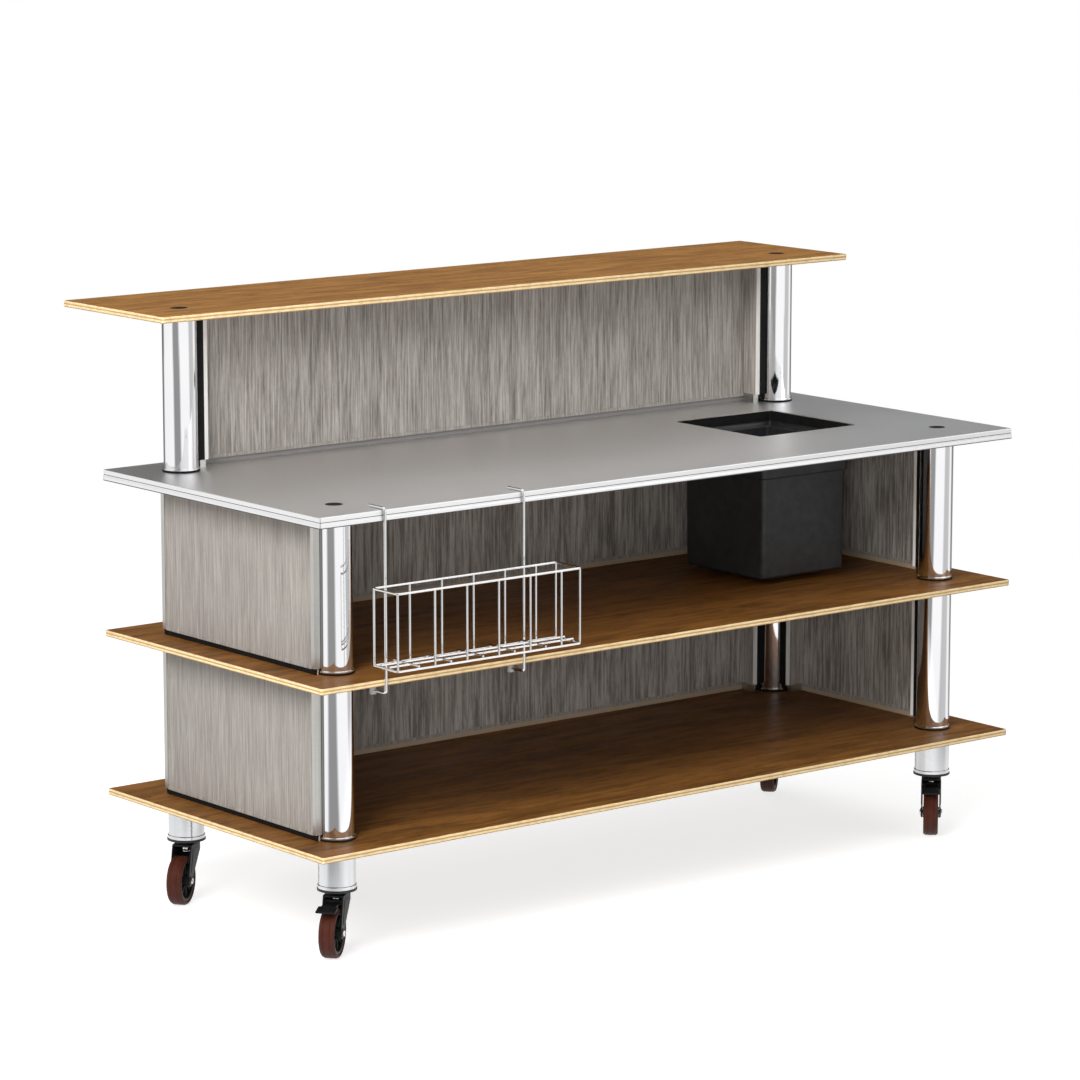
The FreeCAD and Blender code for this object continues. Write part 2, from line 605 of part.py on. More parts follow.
def caster_fork(name, braked):
    """Make a fork that trails along +X: a crown, two legs and the axle bosses."""
    body = new_body(name)
    boss = "size.axle_dia / 2 + size.boss_wall"
    legs = side_sketch(body, name + "_legs")
    draw_polygon(legs, [
        ("-size.crown_back", "place.fork_top"), ("size.crown_front", "place.fork_top"),
        (f"size.caster_trail + {boss}", "place.axle_level"),
        (f"size.caster_trail - ({boss})", "place.axle_level"),
        ("-size.crown_back", "place.fork_top - size.crown_skirt")])
    pad(body, legs, "place.fork_width", midplane=True)
    ends = side_sketch(body, name + "_bosses")
    draw_circles(ends, [("size.caster_trail", "place.axle_level", boss)])
    pad(body, ends, "place.fork_width", midplane=True)
    room = side_sketch(body, name + "_room")
    reach = "size.caster_trail + size.wheel_dia"
    draw_polygon(room, [(f"-({reach})", "0"), (reach, "0"), (reach, "place.crown_under"),
                        (f"-({reach})", "place.crown_under")])
    pocket(body, room, "place.fork_gap", midplane=True)
    holes = [("size.caster_trail", "place.axle_level", "size.axle_dia / 2 + size.running_gap")]
    if braked:
        holes.append(("size.pivot_reach", "place.pivot_level",
                      "size.pivot_dia / 2 + size.running_gap"))
    bores = side_sketch(body, name + "_bores")
    draw_circles(bores, holes)
    pocket(body, bores, "place.fork_width", midplane=True)
    drill(body, name + "_kingpin_hole", "place.fork_top", [("0", "0")],
          "size.kingpin_dia / 2 + size.running_gap", "size.crown_thick")
    return body


def caster_axle():
    """Make the axle bolt with a domed head at each side of the fork."""
    pin = "size.axle_dia / 2"
    head = f"{pin} + size.axle_head_lip"
    face = "place.fork_width / 2"
    end = f"({face} + size.axle_head_height)"
    ramp = "size.axle_head_bevel"
    return turned("caster_axle", [
        ("0", f"-{end}"), (f"{head} - {ramp}", f"-{end}"), (head, f"-({end} - {ramp})"),
        (head, f"-{face}"), (pin, f"-{face}"), (pin, face), (head, face),
        (head, f"{end} - {ramp}"), (f"{head} - {ramp}", end), ("0", end)],
        "XY_Plane", height="place.axle_level", x="size.caster_trail")


def caster_wheel():
    """Make the wheel core: hub, web and rim."""
    bore = "size.axle_dia / 2 + size.running_gap"
    hub = "size.axle_dia / 2 + size.hub_wall"
    hub_half = "(place.fork_gap / 2 - size.hub_gap)"
    web, rim = "size.web_thick / 2", "place.rim_half"
    rim_bore = "place.rim_edge - size.rim_thick"
    return turned("caster_wheel", [
        (bore, f"-{hub_half}"), (hub, f"-{hub_half}"), (hub, f"-{web}"), (rim_bore, f"-{web}"),
        (rim_bore, f"-{rim}"), ("place.rim_edge", f"-{rim}"), ("place.rim_edge", rim),
        (rim_bore, rim), (rim_bore, web), (hub, web), (hub, hub_half), (bore, hub_half)],
        "XY_Plane", height="place.axle_level", x="size.caster_trail")


def caster_tyre():
    """Make the tyre with rounded shoulders on the wheel's rim."""
    half, tread = "size.wheel_width / 2", "size.wheel_dia / 2"
    lip = "place.rim_edge + size.rim_inset"
    body = turned("caster_tyre", [
        ("place.rim_edge", "-place.rim_half"), (lip, f"-{half}"), (tread, f"-{half}"),
        (tread, half), (lip, half), ("place.rim_edge", "place.rim_half")],
        "XY_Plane", height="place.axle_level", x="size.caster_trail")
    document.recompute()
    outer, blank = number(tread), body.Tip
    edges = [f"Edge{index}" for index, edge in enumerate(blank.Shape.Edges, 1)
             if isinstance(edge.Curve, Part.Circle) and abs(edge.Curve.Radius - outer) < TOLERANCE]
    shoulders = body.newObject("PartDesign::Fillet", "tyre_shoulders")
    shoulders.Base = (blank, edges)
    shoulders.setExpression("Radius", "size.tyre_shoulder")
    return body


def caster_pedal():
    """Make the brake pedal: barrel and pins, arm, foot plate and the shoe over the tyre."""
    body = new_body("caster_pedal")
    shoe_foot = "size.wheel_dia + size.shoe_gap"
    shoe_back = "size.caster_trail - size.shoe_length / 2"
    shoe_front = "size.caster_trail + size.shoe_length / 2"
    droop = "size.tread_droop"
    parts = (
        ("barrel", "place.fork_gap - size.barrel_gap * 2", "size.barrel_dia / 2"),
        ("pins", "place.fork_width", "size.pivot_dia / 2"),
    )
    for name, width, radius in parts:
        sketch = side_sketch(body, f"pedal_{name}")
        draw_circles(sketch, [("size.pivot_reach", "place.pivot_level", radius)])
        pad(body, sketch, width, midplane=True)
    outlines = (
        ("arm", "size.pedal_width", [
            ("size.pivot_reach", "place.pedal_under"), ("place.tread_start", "place.pedal_under"),
            ("place.tread_start", "place.pedal_top"), ("size.pivot_reach", "place.pedal_top")]),
        ("tread", "size.tread_width", [
            ("place.tread_start", "place.pedal_under"),
            ("size.pedal_reach", f"place.pedal_under - {droop}"),
            ("size.pedal_reach", f"place.pedal_top - {droop}"),
            ("place.tread_start", "place.pedal_top")]),
        ("shoe", "size.shoe_width", [
            (shoe_back, shoe_foot), (shoe_front, shoe_foot), (shoe_front, "place.pedal_under"),
            (shoe_back, "place.pedal_under")]),
    )
    for name, width, points in outlines:
        sketch = side_sketch(body, f"pedal_{name}")
        draw_polygon(sketch, points)
        pad(body, sketch, width, midplane=True)
    return body


def make_casters():
    """Place a caster under each post, turned as it stands, with a pedal on the front two."""
    forks = {True: caster_fork("braked_fork", True), False: caster_fork("plain_fork", False)}
    common = {"axle": caster_axle(), "wheel": caster_wheel(), "tyre": caster_tyre()}
    pedal = caster_pedal()
    for post, _, side, line in POSTS:
        sources = {"fork": forks[post in BRAKED], **common}
        if post in BRAKED:
            sources["brake_pedal"] = pedal
        for name, source in sources.items():
            copy = copy_of(f"{post}_{name}_copy", source, x=f"{side}place.post_x", y=line,
                           turn=f"size.{post}_turn")
            group(f"{post}_{name}", [copy])


def on_side(side, along, out):
    """Return the place of a point on a panel side, given along it and out from the posts."""
    if side == "left":
        return {"x": f"-place.post_x - ({out})", "y": f"place.deck_mid + ({along})"}
    if side == "right":
        return {"x": f"place.post_x + ({out})", "y": f"place.deck_mid - ({along})"}
    return {"x": along, "y": f"place.rear_post + ({out})"}


def side_width(side):
    """Return the distance between the posts at a panel side."""
    return "(place.post_x * 2)" if side == "back" else "(place.post_y * 2)"


SIDE_TURNS = {"left": 90, "right": -90, "back": 0}


def channel_section(leg, way=""):
    """Return a U section round a panel's edge, its legs up, or down where way is a minus."""
    inner = "size.panel_thick / 2"
    outer = f"({inner} + size.trim_wall)"
    wall = "size.trim_wall" if way else "-size.trim_wall"
    return [(f"-{outer}", f"{way}{leg}"), (f"-{outer}", wall), (outer, wall),
            (outer, f"{way}{leg}"), (inner, f"{way}{leg}"), (inner, "0"), (f"-{inner}", "0"),
            (f"-{inner}", f"{way}{leg}")]


def panel_sources(name, floor, ceiling):
    """Make one of each upright fitting of a compartment's panels, about its own middle."""
    low, high = f"{floor} + size.gap_below", f"{ceiling} - size.gap_above"
    trim = new_body(f"{name}_side_trim")
    section = new_sketch(trim, f"{name}_side_trim_section", height=low)
    draw_polygon(section, [(along, across) for across, along in
                           channel_section("size.side_trim_leg")])
    pad(trim, section, f"{high} - ({low})")
    low, high = f"{floor} + place.clip_foot", f"{ceiling} - place.clip_head"
    tall = f"{high} - ({low})"
    width, depth, wall = "size.clip_width", "size.clip_depth", "size.clip_wall"
    outside = box(f"{name}_clip_outside", f"-{width} / 2", f"-{depth} / 2", low, width, depth, tall)
    inside = box(f"{name}_clip_inside", f"-{width} / 2 + {wall}", f"-{depth} / 2 + {wall}", low,
                 f"{width} - {wall} * 2", f"{depth} - {wall} * 2", tall)
    gasket = box(f"{name}_gasket", "-size.gasket_thick / 2", "-size.gasket_width / 2", low,
                 "size.gasket_thick", "size.gasket_width", tall)
    foot = box(f"{name}_foot", f"-{width} / 2", "-size.pad_depth / 2", floor, width,
               "size.pad_depth", "place.clip_foot")
    return {"side_trim": trim, "clip_rail": cut(f"{name}_clip", outside, inside),
            "gasket": gasket, "foot": foot}


def rail_sources(side):
    """Make the low and the high rail of one side's panels, about the panel's own edge."""
    rails = {}
    for edge, way in (("low", ""), ("high", "-")):
        body = new_body(f"{side}_{edge}_rail")
        section = new_sketch(body, f"{side}_{edge}_rail_section", "YZ_Plane")
        draw_polygon(section, channel_section("size.rail_leg", way))
        pad(body, section, f"{side_width(side)} - size.side_trim_leg * 2", midplane=True)
        rails[edge] = body
    return rails


def make_panels():
    """Make every panel with its trims, rails, clip rails, gaskets and feet."""
    members = {"side_trim": [], "clip_rail": [], "gasket": [], "foot": [], "rail": []}
    uprights = {name: panel_sources(name, floor, ceiling)
                for name, (floor, ceiling) in BAYS.items()}
    rails = {"end": rail_sources("end"), "back": rail_sources("back")}
    for side, bays in PANEL_SIDES.items():
        half = f"{side_width(side)} / 2"
        turn = SIDE_TURNS[side]
        for name in bays:
            floor, ceiling = BAYS[name]
            label = f"{side}_{name}_panel"
            low, high = f"{floor} + size.gap_below", f"{ceiling} - size.gap_above"
            panel = document.addObject("Part::Box", label)
            panel.Placement = Placement(Vector(), Rotation(Vector(0, 0, 1), turn))
            corner = on_side(side, f"-{half}", "place.panel_offset")
            bind(panel, z=low, Length=side_width(side), Width="size.panel_thick",
                 Height=f"{high} - ({low})", **corner)
            node(label, panel)
            rail = rails["back" if side == "back" else "end"]
            for edge, level in (("low", low), ("high", high)):
                spot = on_side(side, "0", "place.panel_middle")
                members["rail"].append(copy_of(f"{label}_{edge}_rail", rail[edge], z=level,
                                               turn=str(turn), **spot))
            for end, sign, flip in (("start", "-", 0), ("end", "", 180)):
                places = {
                    "side_trim": (half, "place.panel_middle"),
                    "clip_rail": (f"({half} - place.clip_start - size.clip_width / 2)",
                                  "place.panel_offset - size.clip_depth / 2"),
                    "gasket": (f"({half} - place.gasket_start - size.gasket_thick / 2)", "0"),
                    "foot": (f"({half} - place.clip_start - size.clip_width / 2)",
                             "place.panel_offset - size.pad_set_back - size.pad_depth / 2"),
                }
                for kind, (along, out) in places.items():
                    spot = on_side(side, f"{sign}{along}", out)
                    members[kind].append(copy_of(f"{label}_{end}_{kind}", uprights[name][kind],
                                                 turn=str(turn + flip), **spot))
    group("panel_side_trims", members["side_trim"])
    group("panel_rails", members["rail"])
    group("panel_clip_rails", members["clip_rail"])
    group("panel_gaskets", members["gasket"])
    group("panel_feet", members["foot"])


def screw_places():
    """Return where the frame's screws stand, from the middle of the opening."""
    spots = []
    for x in ("-", ""):
        for y in ("-", ""):
            spots.append((f"{x}place.screw_x", f"{y}size.screw_spread"))
            spots.append((f"{x}size.screw_spread", f"{y}place.screw_y"))
    return spots


def bin_plate(body, name, height, half_x, half_y, corner):
    """Draw one rounded outline of the bin or its frame at a height."""
    sketch = new_sketch(body, name, height=height)
    draw_rounded_rectangle(sketch, half_x, half_y, corner)
    return sketch


def make_bin_frame():
    """Make the steel frame under the opening: flange, wall and the ledge that holds the bin."""
    body = new_body("bin_frame")
    bind(body, x="place.cutout_x", y="place.cutout_y")
    half_x, half_y, corner = "size.cutout_length / 2", "size.cutout_width / 2", "size.cutout_corner"
    wall = "size.frame_wall"
    rim = f"{wall} + size.frame_flange"
    top = "place.worktop_under"
    flange = bin_plate(body, "frame_flange", top, f"{half_x} + {rim}", f"{half_y} + {rim}",
                       f"{corner} + {wall}")
    pad(body, flange, wall, reversed_way=True)
    skirt = bin_plate(body, "frame_skirt", top, f"{half_x} + {wall}", f"{half_y} + {wall}",
                      f"{corner} + {wall}")
    pad(body, skirt, "size.frame_depth", reversed_way=True)
    room = bin_plate(body, "frame_room", top, half_x, half_y, corner)
    pocket(body, room, f"size.frame_depth - {wall}")
    ledge = bin_plate(body, "frame_ledge", top, "place.band_x + size.ledge_gap",
                      "place.band_y + size.ledge_gap", "size.bin_corner + size.ledge_gap")
    pocket(body, ledge)
    drill(body, "frame_screw_holes", top, screw_places(), "size.screw_dia / 2 + size.running_gap",
          wall)
    node("bin_frame", body)

    head = f"{top} - {wall}"
    screw = turned("frame_screw", [
        ("0", f"{head} - size.screw_head_height"),
        ("size.screw_head_dia / 2", f"{head} - size.screw_head_height"),
        ("size.screw_head_dia / 2", head), ("size.screw_dia / 2", head),
        ("size.screw_dia / 2", f"{head} + size.screw_length"),
        ("0", f"{head} + size.screw_length")])
    group("bin_frame_screws", [
        copy_of(f"frame_screw_{index}", screw, x=f"place.cutout_x + {x}", y=f"place.cutout_y + {y}")
        for index, (x, y) in enumerate(screw_places(), 1)])


def make_ice_bin():
    """Make the lift-out ice bin: flange, upper band and a tapered body, hollow inside."""
    body = new_body("ice_bin")
    bind(body, x="place.cutout_x", y="place.cutout_y")
    wall, corner = "size.bin_wall", "size.bin_corner"
    inner_corner = f"{corner} - {wall}"
    lower_x, lower_y = "place.band_x - size.band_step", "place.band_y - size.band_step"
    rim = bin_plate(body, "bin_flange", "place.bin_rim",
                    "size.cutout_length / 2 - size.bin_clearance",
                    "size.cutout_width / 2 - size.bin_clearance", corner)
    pad(body, rim, "size.bin_flange_thick", reversed_way=True)
    band = bin_plate(body, "bin_band", "place.bin_seat", "place.band_x", "place.band_y", corner)
    pad(body, band, "size.band_depth", reversed_way=True)
    shell = bin_plate(body, "bin_shell", "place.band_foot", lower_x, lower_y, corner)
    pad(body, shell, "place.band_foot - place.bin_foot", reversed_way=True,
        taper="-size.bin_draft")
    mouth = bin_plate(body, "bin_mouth", "place.bin_rim", f"place.band_x - {wall}",
                      f"place.band_y - {wall}", inner_corner)
    pocket(body, mouth, f"place.bin_rim - place.band_foot - {wall}")
    room = bin_plate(body, "bin_room", f"place.band_foot + {wall}", f"{lower_x} - {wall}",
                     f"{lower_y} - {wall}", inner_corner)
    pocket(body, room, "place.band_foot - place.bin_foot", taper="-size.bin_draft")
    node("ice_bin", body)


def rack_run(name, x, y, z, length, direction="X"):
    """Make a straight stretch of rim wire."""
    return rod(name, direction, "size.rim_wire_dia / 2", length, x, y, z)


def make_rack_face(name, line, turns, way):
    """Make the front or the rear of the rack: two rims with bent ends and the uprights."""
    straight = "place.bend_right - place.bend_left"
    bend_y = f"{line} {way} size.rack_corner"
    wires = []
    for edge, level in (("floor", "place.rack_floor"), ("rim", "place.rack_rim")):
        wires.append(rack_run(f"{name}_{edge}_run", "place.bend_left", line, level, straight))
        for end, x, turn in (("left", "place.bend_left", turns[0]),
                             ("right", "place.bend_right", turns[1])):
            wires.append(elbow(f"{name}_{edge}_{end}_bend", "size.rack_corner",
                               "size.rim_wire_dia / 2", x, bend_y, level,
                               Rotation(Vector(0, 0, 1), turn)))
    corner_y = f"{bend_y} {'-' if way == '+' else '+'} place.bend_rise"
    places = [("place.bend_left - place.bend_rise", corner_y),
              ("place.bend_right + place.bend_rise", corner_y)]
    places += [(f"place.upright_start + place.upright_span * {index} / {MIDDLE_UPRIGHTS - 1}", line)
               for index in range(MIDDLE_UPRIGHTS)]
    for index, (x, y) in enumerate(places):
        wires.append(rod(f"{name}_upright_{index}", "Z", "size.upright_wire_dia / 2",
                         "size.rack_height", x, y, "place.rack_floor"))
    node(name, fuse(name, wires))


def make_rack():
    """Make the wire bottle rack, and the two hangers that hook over the worktop."""
    make_rack_face("rack_front", "place.rack_front", (180, 270), "+")
    make_rack_face("rack_rear", "place.rack_rear", (90, 0), "-")
    depth = "size.rack_depth - size.rack_corner * 2"
    for side, x in (("left", "place.rack_left"), ("right", "place.rack_right")):
        group(f"rack_{side}_side", [
            rack_run(f"rack_{side}_{edge}", x, "place.rack_front + size.rack_corner", level,
                     depth, "Y")
            for edge, level in (("floor", "place.rack_floor"), ("rim", "place.rack_rim"))])

    radius = "size.upright_wire_dia / 2"
    wires = []
    for index in range(1, FLOOR_WIRES + 1):
        line = f"place.rack_front + size.rack_depth * {index} / {FLOOR_WIRES + 1}"
        wires.append(rod(f"floor_wire_{index}", "X", radius, "place.rack_right - place.rack_left",
                         "place.rack_left", line, "place.grid_level"))
    for index in range(MIDDLE_UPRIGHTS):
        x = (f"place.upright_start + place.upright_span * ({index} - 1 / 2)"
             f" / {MIDDLE_UPRIGHTS - 1}")
        wires.append(rod(f"floor_bar_{index}", "Y", radius, "size.rack_depth", x,
                         "place.rack_front", "place.grid_level"))
    node("rack_floor", fuse("rack_floor", wires))

    bumpers = []
    for side, x in (("left", "place.rack_start + size.left_hanger_inset"),
                    ("right", "place.rack_end - size.right_hanger_inset")):
        make_hanger(side, x)
        bumpers.append(make_bumper(side, x))
    group("rack_bumpers", bumpers)


def make_hanger(side, x):
    """Make one hanger rod: a hook over the worktop and a foot under the middle shelf."""
    radius, bend = "size.hanger_dia / 2", "size.hook_bend"
    bend_y = f"place.rod_y + {bend}"
    low, high = f"place.foot_level + {bend}", f"place.hook_level - {bend}"
    up = Rotation(Vector(0, -1, 0), Vector(0, 0, 1), Vector(-1, 0, 0), "ZXY")
    down = Rotation(Vector(0, -1, 0), Vector(0, 0, -1), Vector(1, 0, 0), "ZXY")
    name = f"{side}_hanger"
    wires = [
        rod(f"{name}_stem", "Z", radius, f"{high} - ({low})", x, "place.rod_y", low),
        elbow(f"{name}_upper_bend", bend, radius, x, bend_y, high, up),
        elbow(f"{name}_lower_bend", bend, radius, x, bend_y, low, down),
        rod(f"{name}_hook", "Y", radius, f"place.deck_front + size.hook_reach - ({bend_y})", x,
            bend_y, "place.hook_level"),
        rod(f"{name}_foot", "Y", radius, f"place.foot_end - ({bend_y})", x, bend_y,
            "place.foot_level"),
    ]
    node(f"rack_{name}", fuse(f"rack_{name}", wires))


def make_bumper(side, x):
    """Make the soft bumper on a hanger's foot, just under the middle shelf."""
    middle = "place.foot_end - size.bumper_dia / 2"
    post = rod(f"{side}_bumper_blank", "Z", "size.bumper_dia / 2", "size.bumper_height", x, middle,
               "place.middle_under - size.hook_gap - size.bumper_height")
    bore = rod(f"{side}_bumper_bore", "Y", "size.hanger_dia / 2 + size.running_gap",
               "size.bumper_dia * 2", x, f"{middle} - size.bumper_dia", "place.foot_level")
    return cut(f"{side}_bumper", post, bore)


def check_and_export():
    """Stop if anything failed to build, then write one STEP file per sub-part."""
    document.recompute()
    broken = [item.Label for item in document.Objects
              if "Invalid" in item.State or "Error" in item.State]
    for item in nodes:
        if item.Shape.isNull() or not item.Shape.isValid() or not item.Shape.Solids:
            broken.append(item.Label)
    if broken:
        raise RuntimeError(f"failed to build: {', '.join(broken)}")
    os.makedirs("parts", exist_ok=True)
    for item in nodes:
        item.Shape.exportStep(f"parts/{item.Label}.step")
        print(f"{item.Label}: {len(item.Shape.Solids)} solids, {item.Shape.Volume:.1f} mm3")
    print(f"{len(nodes)} sub-parts")


make_shelf("bottom_shelf", "size.bottom_level")
make_shelf("middle_shelf", "place.middle_level")
make_worktop()
make_bar_top()
make_posts()
make_tie_rods()
make_feet()
make_caster_heads()
make_casters()
make_panels()
make_bin_frame()
make_ice_bin()
make_rack()
check_and_export()
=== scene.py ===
"""Looks of the bar station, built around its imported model.

Each sub-assembly is a class with its own sizes and the methods that make and dress its pieces.
All lengths are metres in the model's frame: X to the right of the bartender, Y to the guests'
side, Z up from the floor. A colour is three numbers in linear light.
"""
import logging
import math
from collections.abc import Callable, Iterable, Sequence
from dataclasses import dataclass, field
from enum import Enum

import bmesh
import bpy
from mathutils import Matrix, Vector


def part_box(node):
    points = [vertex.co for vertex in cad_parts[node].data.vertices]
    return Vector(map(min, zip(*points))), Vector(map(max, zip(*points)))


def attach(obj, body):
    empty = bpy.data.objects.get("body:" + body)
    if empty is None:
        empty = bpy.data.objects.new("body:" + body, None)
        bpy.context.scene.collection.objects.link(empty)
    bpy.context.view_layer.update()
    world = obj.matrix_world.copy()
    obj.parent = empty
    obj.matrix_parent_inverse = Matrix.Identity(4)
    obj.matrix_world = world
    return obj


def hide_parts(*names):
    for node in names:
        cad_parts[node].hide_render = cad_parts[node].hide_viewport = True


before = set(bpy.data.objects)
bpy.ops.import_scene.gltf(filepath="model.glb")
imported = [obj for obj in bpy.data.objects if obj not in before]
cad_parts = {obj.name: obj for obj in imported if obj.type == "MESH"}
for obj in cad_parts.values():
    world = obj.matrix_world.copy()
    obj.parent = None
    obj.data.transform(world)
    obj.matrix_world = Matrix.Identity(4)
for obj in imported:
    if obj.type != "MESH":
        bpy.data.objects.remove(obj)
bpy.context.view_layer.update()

LOG = logging.getLogger("bar_station")

Colour = tuple[float, float, float]
Point = tuple[float, float, float]
Flat = tuple[float, float]
Mesh = bpy.types.Mesh
Node = bpy.types.Node
Outputs = bpy.types.NodeOutputs
Piece = bpy.types.Object
Shape = bmesh.types.BMesh
Socket = bpy.types.NodeSocket
Vert = bmesh.types.BMVert

ROOT = "root"
FULL_TURN = math.tau
QUARTER_TURN = math.pi / 2
TUBE_SEGMENTS = 96
SMALL_SEGMENTS = 40
CORNER_STEPS = 10
CORNER_SHARE = 0.8
SHARP_ANGLE = math.radians(32)
SOFTEN_ANGLE = math.radians(50)
WELD_DISTANCE = 1e-6
FLATNESS = math.radians(0.5)


class Slot(Enum):
    """The finishes that the record names."""

    PLYWOOD = "plywood"
    STAINLESS = "stainless"
    CHROME_TUBE = "chrome_tube"
    ZINC_STEEL = "zinc_steel"
    SOCKET_ALUMINIUM = "socket_aluminium"
    CAP = "cap"
    BLACK_RING = "black_ring"
    LAMINATE = "laminate"
    TRIM_ALUMINIUM = "trim_aluminium"
    GASKET = "gasket"
    BLACK_STEEL = "black_steel"
    BIN_PLASTIC = "bin_plastic"
    WIRE = "wire"
    BUMPER = "bumper"
    CASTER_STEEL = "caster_steel"
    BRIGHT_STEEL = "bright_steel"
    WHEEL_CORE = "wheel_core"
    TYRE = "tyre"


class Side(Enum):
    """The end of the station, as the sign of X."""

    LEFT = -1
    RIGHT = 1


class Row(Enum):
    """The row of posts, by its name in the model."""

    FRONT = "front"
    REAR = "rear"


class Graph:
    """Adds and links nodes in one node tree."""

    def __init__(self, tree: bpy.types.NodeTree) -> None:
        """Keeps the tree that the nodes go in."""
        self.tree = tree

    def add(self, kind: str, inputs: dict | None = None, **settings: object) -> Node:
        """Adds one node.

        Args:
            kind: The node's type.
            inputs: Values or sockets by the name or index of the input.
            settings: The node's own properties.

        Returns:
            The new node.
        """
        node = self.tree.nodes.new(kind)
        for key, value in settings.items():
            setattr(node, key, value)
        self.fill(node, inputs or {})
        return node

    def fill(self, node: Node, inputs: dict) -> None:
        """Links or sets a node's inputs.

        Args:
            node: The node.
            inputs: Values or sockets by the name or index of the input.
        """
        for key, value in inputs.items():
            target = node.inputs[key]
            if isinstance(value, Socket):
                self.tree.links.new(value, target)
            else:
                target.default_value = (*value, 1.0) if target.type == "RGBA" else value

    def math(self, operation: str, *values: object) -> Socket:
        """Adds a Math node and returns its result."""
        return self.add("ShaderNodeMath", dict(enumerate(values)), operation=operation).outputs[0]

    def product(self, first: object, second: object) -> Socket:
        """Multiplies two values."""
        return self.math("MULTIPLY", first, second)

    def mixed(self, *layers: tuple[Socket, float]) -> Socket:
        """Adds up layers.

        Args:
            layers: The value and share of each.

        Returns:
            The sum of the values times their shares.
        """
        total = self.product(*layers[0])
        for value, share in layers[1:]:
            total = self.math("MULTIPLY_ADD", value, share, total)
        return total

    def upward(self, vector: object) -> Socket:
        """Gives a vector's Z."""
        return self.add("ShaderNodeSeparateXYZ", {0: vector}).outputs[2]

    def blend(self, share: object, first: object, second: object) -> Socket:
        """Adds a colour mix and returns its result."""
        node = self.add("ShaderNodeMix", {0: share, 6: first, 7: second}, data_type="RGBA")
        return node.outputs[2]

    def span(self, value: object, low: object, high: object, start: float = 0.0,
             end: float = 1.0) -> Socket:
        """Maps a value from start..end to low..high, held inside those bounds."""
        return self.add("ShaderNodeMapRange", {"Value": value, "From Min": start, "From Max": end,
                                               "To Min": low, "To Max": high}).outputs[0]

    def ramp(self, value: object, stops: Sequence[tuple[float, Colour]]) -> Socket:
        """Gives the colour at a value.

        Args:
            value: The value, from 0 to 1.
            stops: Places from 0 to 1 and their colours, in rising order.

        Returns:
            The colour, blended between stops.
        """
        node = self.add("ShaderNodeValToRGB", {0: value})
        marks = node.color_ramp.elements
        marks[0].position, marks[1].position = stops[0][0], stops[-1][0]
        for position, _ in stops[1:-1]:
            marks.new(position)
        for mark, (_, colour) in zip(marks, stops):
            mark.color = (*colour, 1.0)
        return node.outputs[0]

    def noise(self, vector: object, scale: object, detail: float = 3.0, roughness: float = 0.55,
              distortion: object = 0.0) -> Socket:
        """Adds a noise texture and returns its value."""
        return self.add("ShaderNodeTexNoise", {
            "Vector": vector, "Scale": scale, "Detail": detail, "Roughness": roughness,
            "Distortion": distortion}).outputs[0]


class ShaderGroup:
    """A shader node group with named inputs and outputs, made once and used by many finishes."""

    def __init__(self, name: str, inputs: dict[str, object], outputs: Sequence[str]) -> None:
        """Makes the empty group.

        Args:
            name: The group's name.
            inputs: Each input's default: a number, or three numbers for a vector.
            outputs: The names of the values that the group puts out.
        """
        self.tree = bpy.data.node_groups.new(name, "ShaderNodeTree")
        face = self.tree.interface
        for label, default in inputs.items():
            kind = "NodeSocketVector" if isinstance(default, tuple) else "NodeSocketFloat"
            face.new_socket(label, in_out="INPUT", socket_type=kind).default_value = default
        for label in outputs:
            face.new_socket(label, in_out="OUTPUT", socket_type="NodeSocketFloat")
        self.graph = Graph(self.tree)
        self.given = self.graph.add("NodeGroupInput").outputs

    def close(self, results: dict[str, Socket]) -> None:
        """Links the results to the group's outputs."""
        self.graph.add("NodeGroupOutput", results)

    def place(self, graph: Graph, inputs: dict) -> Outputs:
        """Puts the group in a material.

        Args:
            graph: The material's graph.
            inputs: Values or sockets by the group's input names.

        Returns:
            The group node's outputs.
        """
        node = graph.add("ShaderNodeGroup", node_tree=self.tree)
        graph.fill(node, inputs)
        return node.outputs


ORIGIN = (0.0, 0.0, 0.0)
UPRIGHT = (0.0, 0.0, 1.0)


def make_grain_group() -> ShaderGroup:
    """Makes long streaks: wood figure, laminate fibres or the lines of a brushed metal.

    Returns:
        The group. Stretch scales each axis, so the streaks run along its smallest number.
    """
    group = ShaderGroup("long_grain", {"Vector": ORIGIN, "Stretch": (1.0, 20.0, 20.0),
                                       "Waviness": 0.3, "Fine Share": 0.35, "Contrast": 1.0},
                        ("Tone", "Height"))
    graph, given = group.graph, group.given
    drawn = graph.add("ShaderNodeVectorMath", {0: given["Vector"], 1: given["Stretch"]},
                      operation="MULTIPLY").outputs[0]
    broad = graph.noise(drawn, 1.0, detail=5.0, roughness=0.6, distortion=given["Waviness"])
    fine = graph.noise(drawn, 7.0, detail=4.0, roughness=0.65)
    both = graph.add("ShaderNodeMix", {0: given["Fine Share"], 2: broad, 3: fine},
                     data_type="FLOAT").outputs[0]
    spread = graph.product(graph.math("SUBTRACT", both, 0.5), given["Contrast"])
    tone = graph.add("ShaderNodeMath", {0: spread, 1: 0.5}, operation="ADD", use_clamp=True)
    group.close({"Tone": tone.outputs[0], "Height": fine})
    return group


def make_handling_group() -> ShaderGroup:
    """Makes the uneven gloss that wiping and handling leave.

    Returns:
        The group. Its roughness runs from Low to High.
    """
    group = ShaderGroup("handling_marks", {"Vector": ORIGIN, "Scale": 6.0, "Low": 0.2,
                                           "High": 0.3}, ("Roughness",))
    graph, given = group.graph, group.given
    cloudy = graph.noise(given["Vector"], given["Scale"], detail=5.0, roughness=0.6,
                         distortion=0.4)
    fine = graph.noise(given["Vector"], graph.product(given["Scale"], 9.0), detail=2.0)
    both = graph.mixed((cloudy, 0.7), (fine, 0.3))
    group.close({"Roughness": graph.span(both, given["Low"], given["High"], start=0.35,
                                         end=0.65)})
    return group


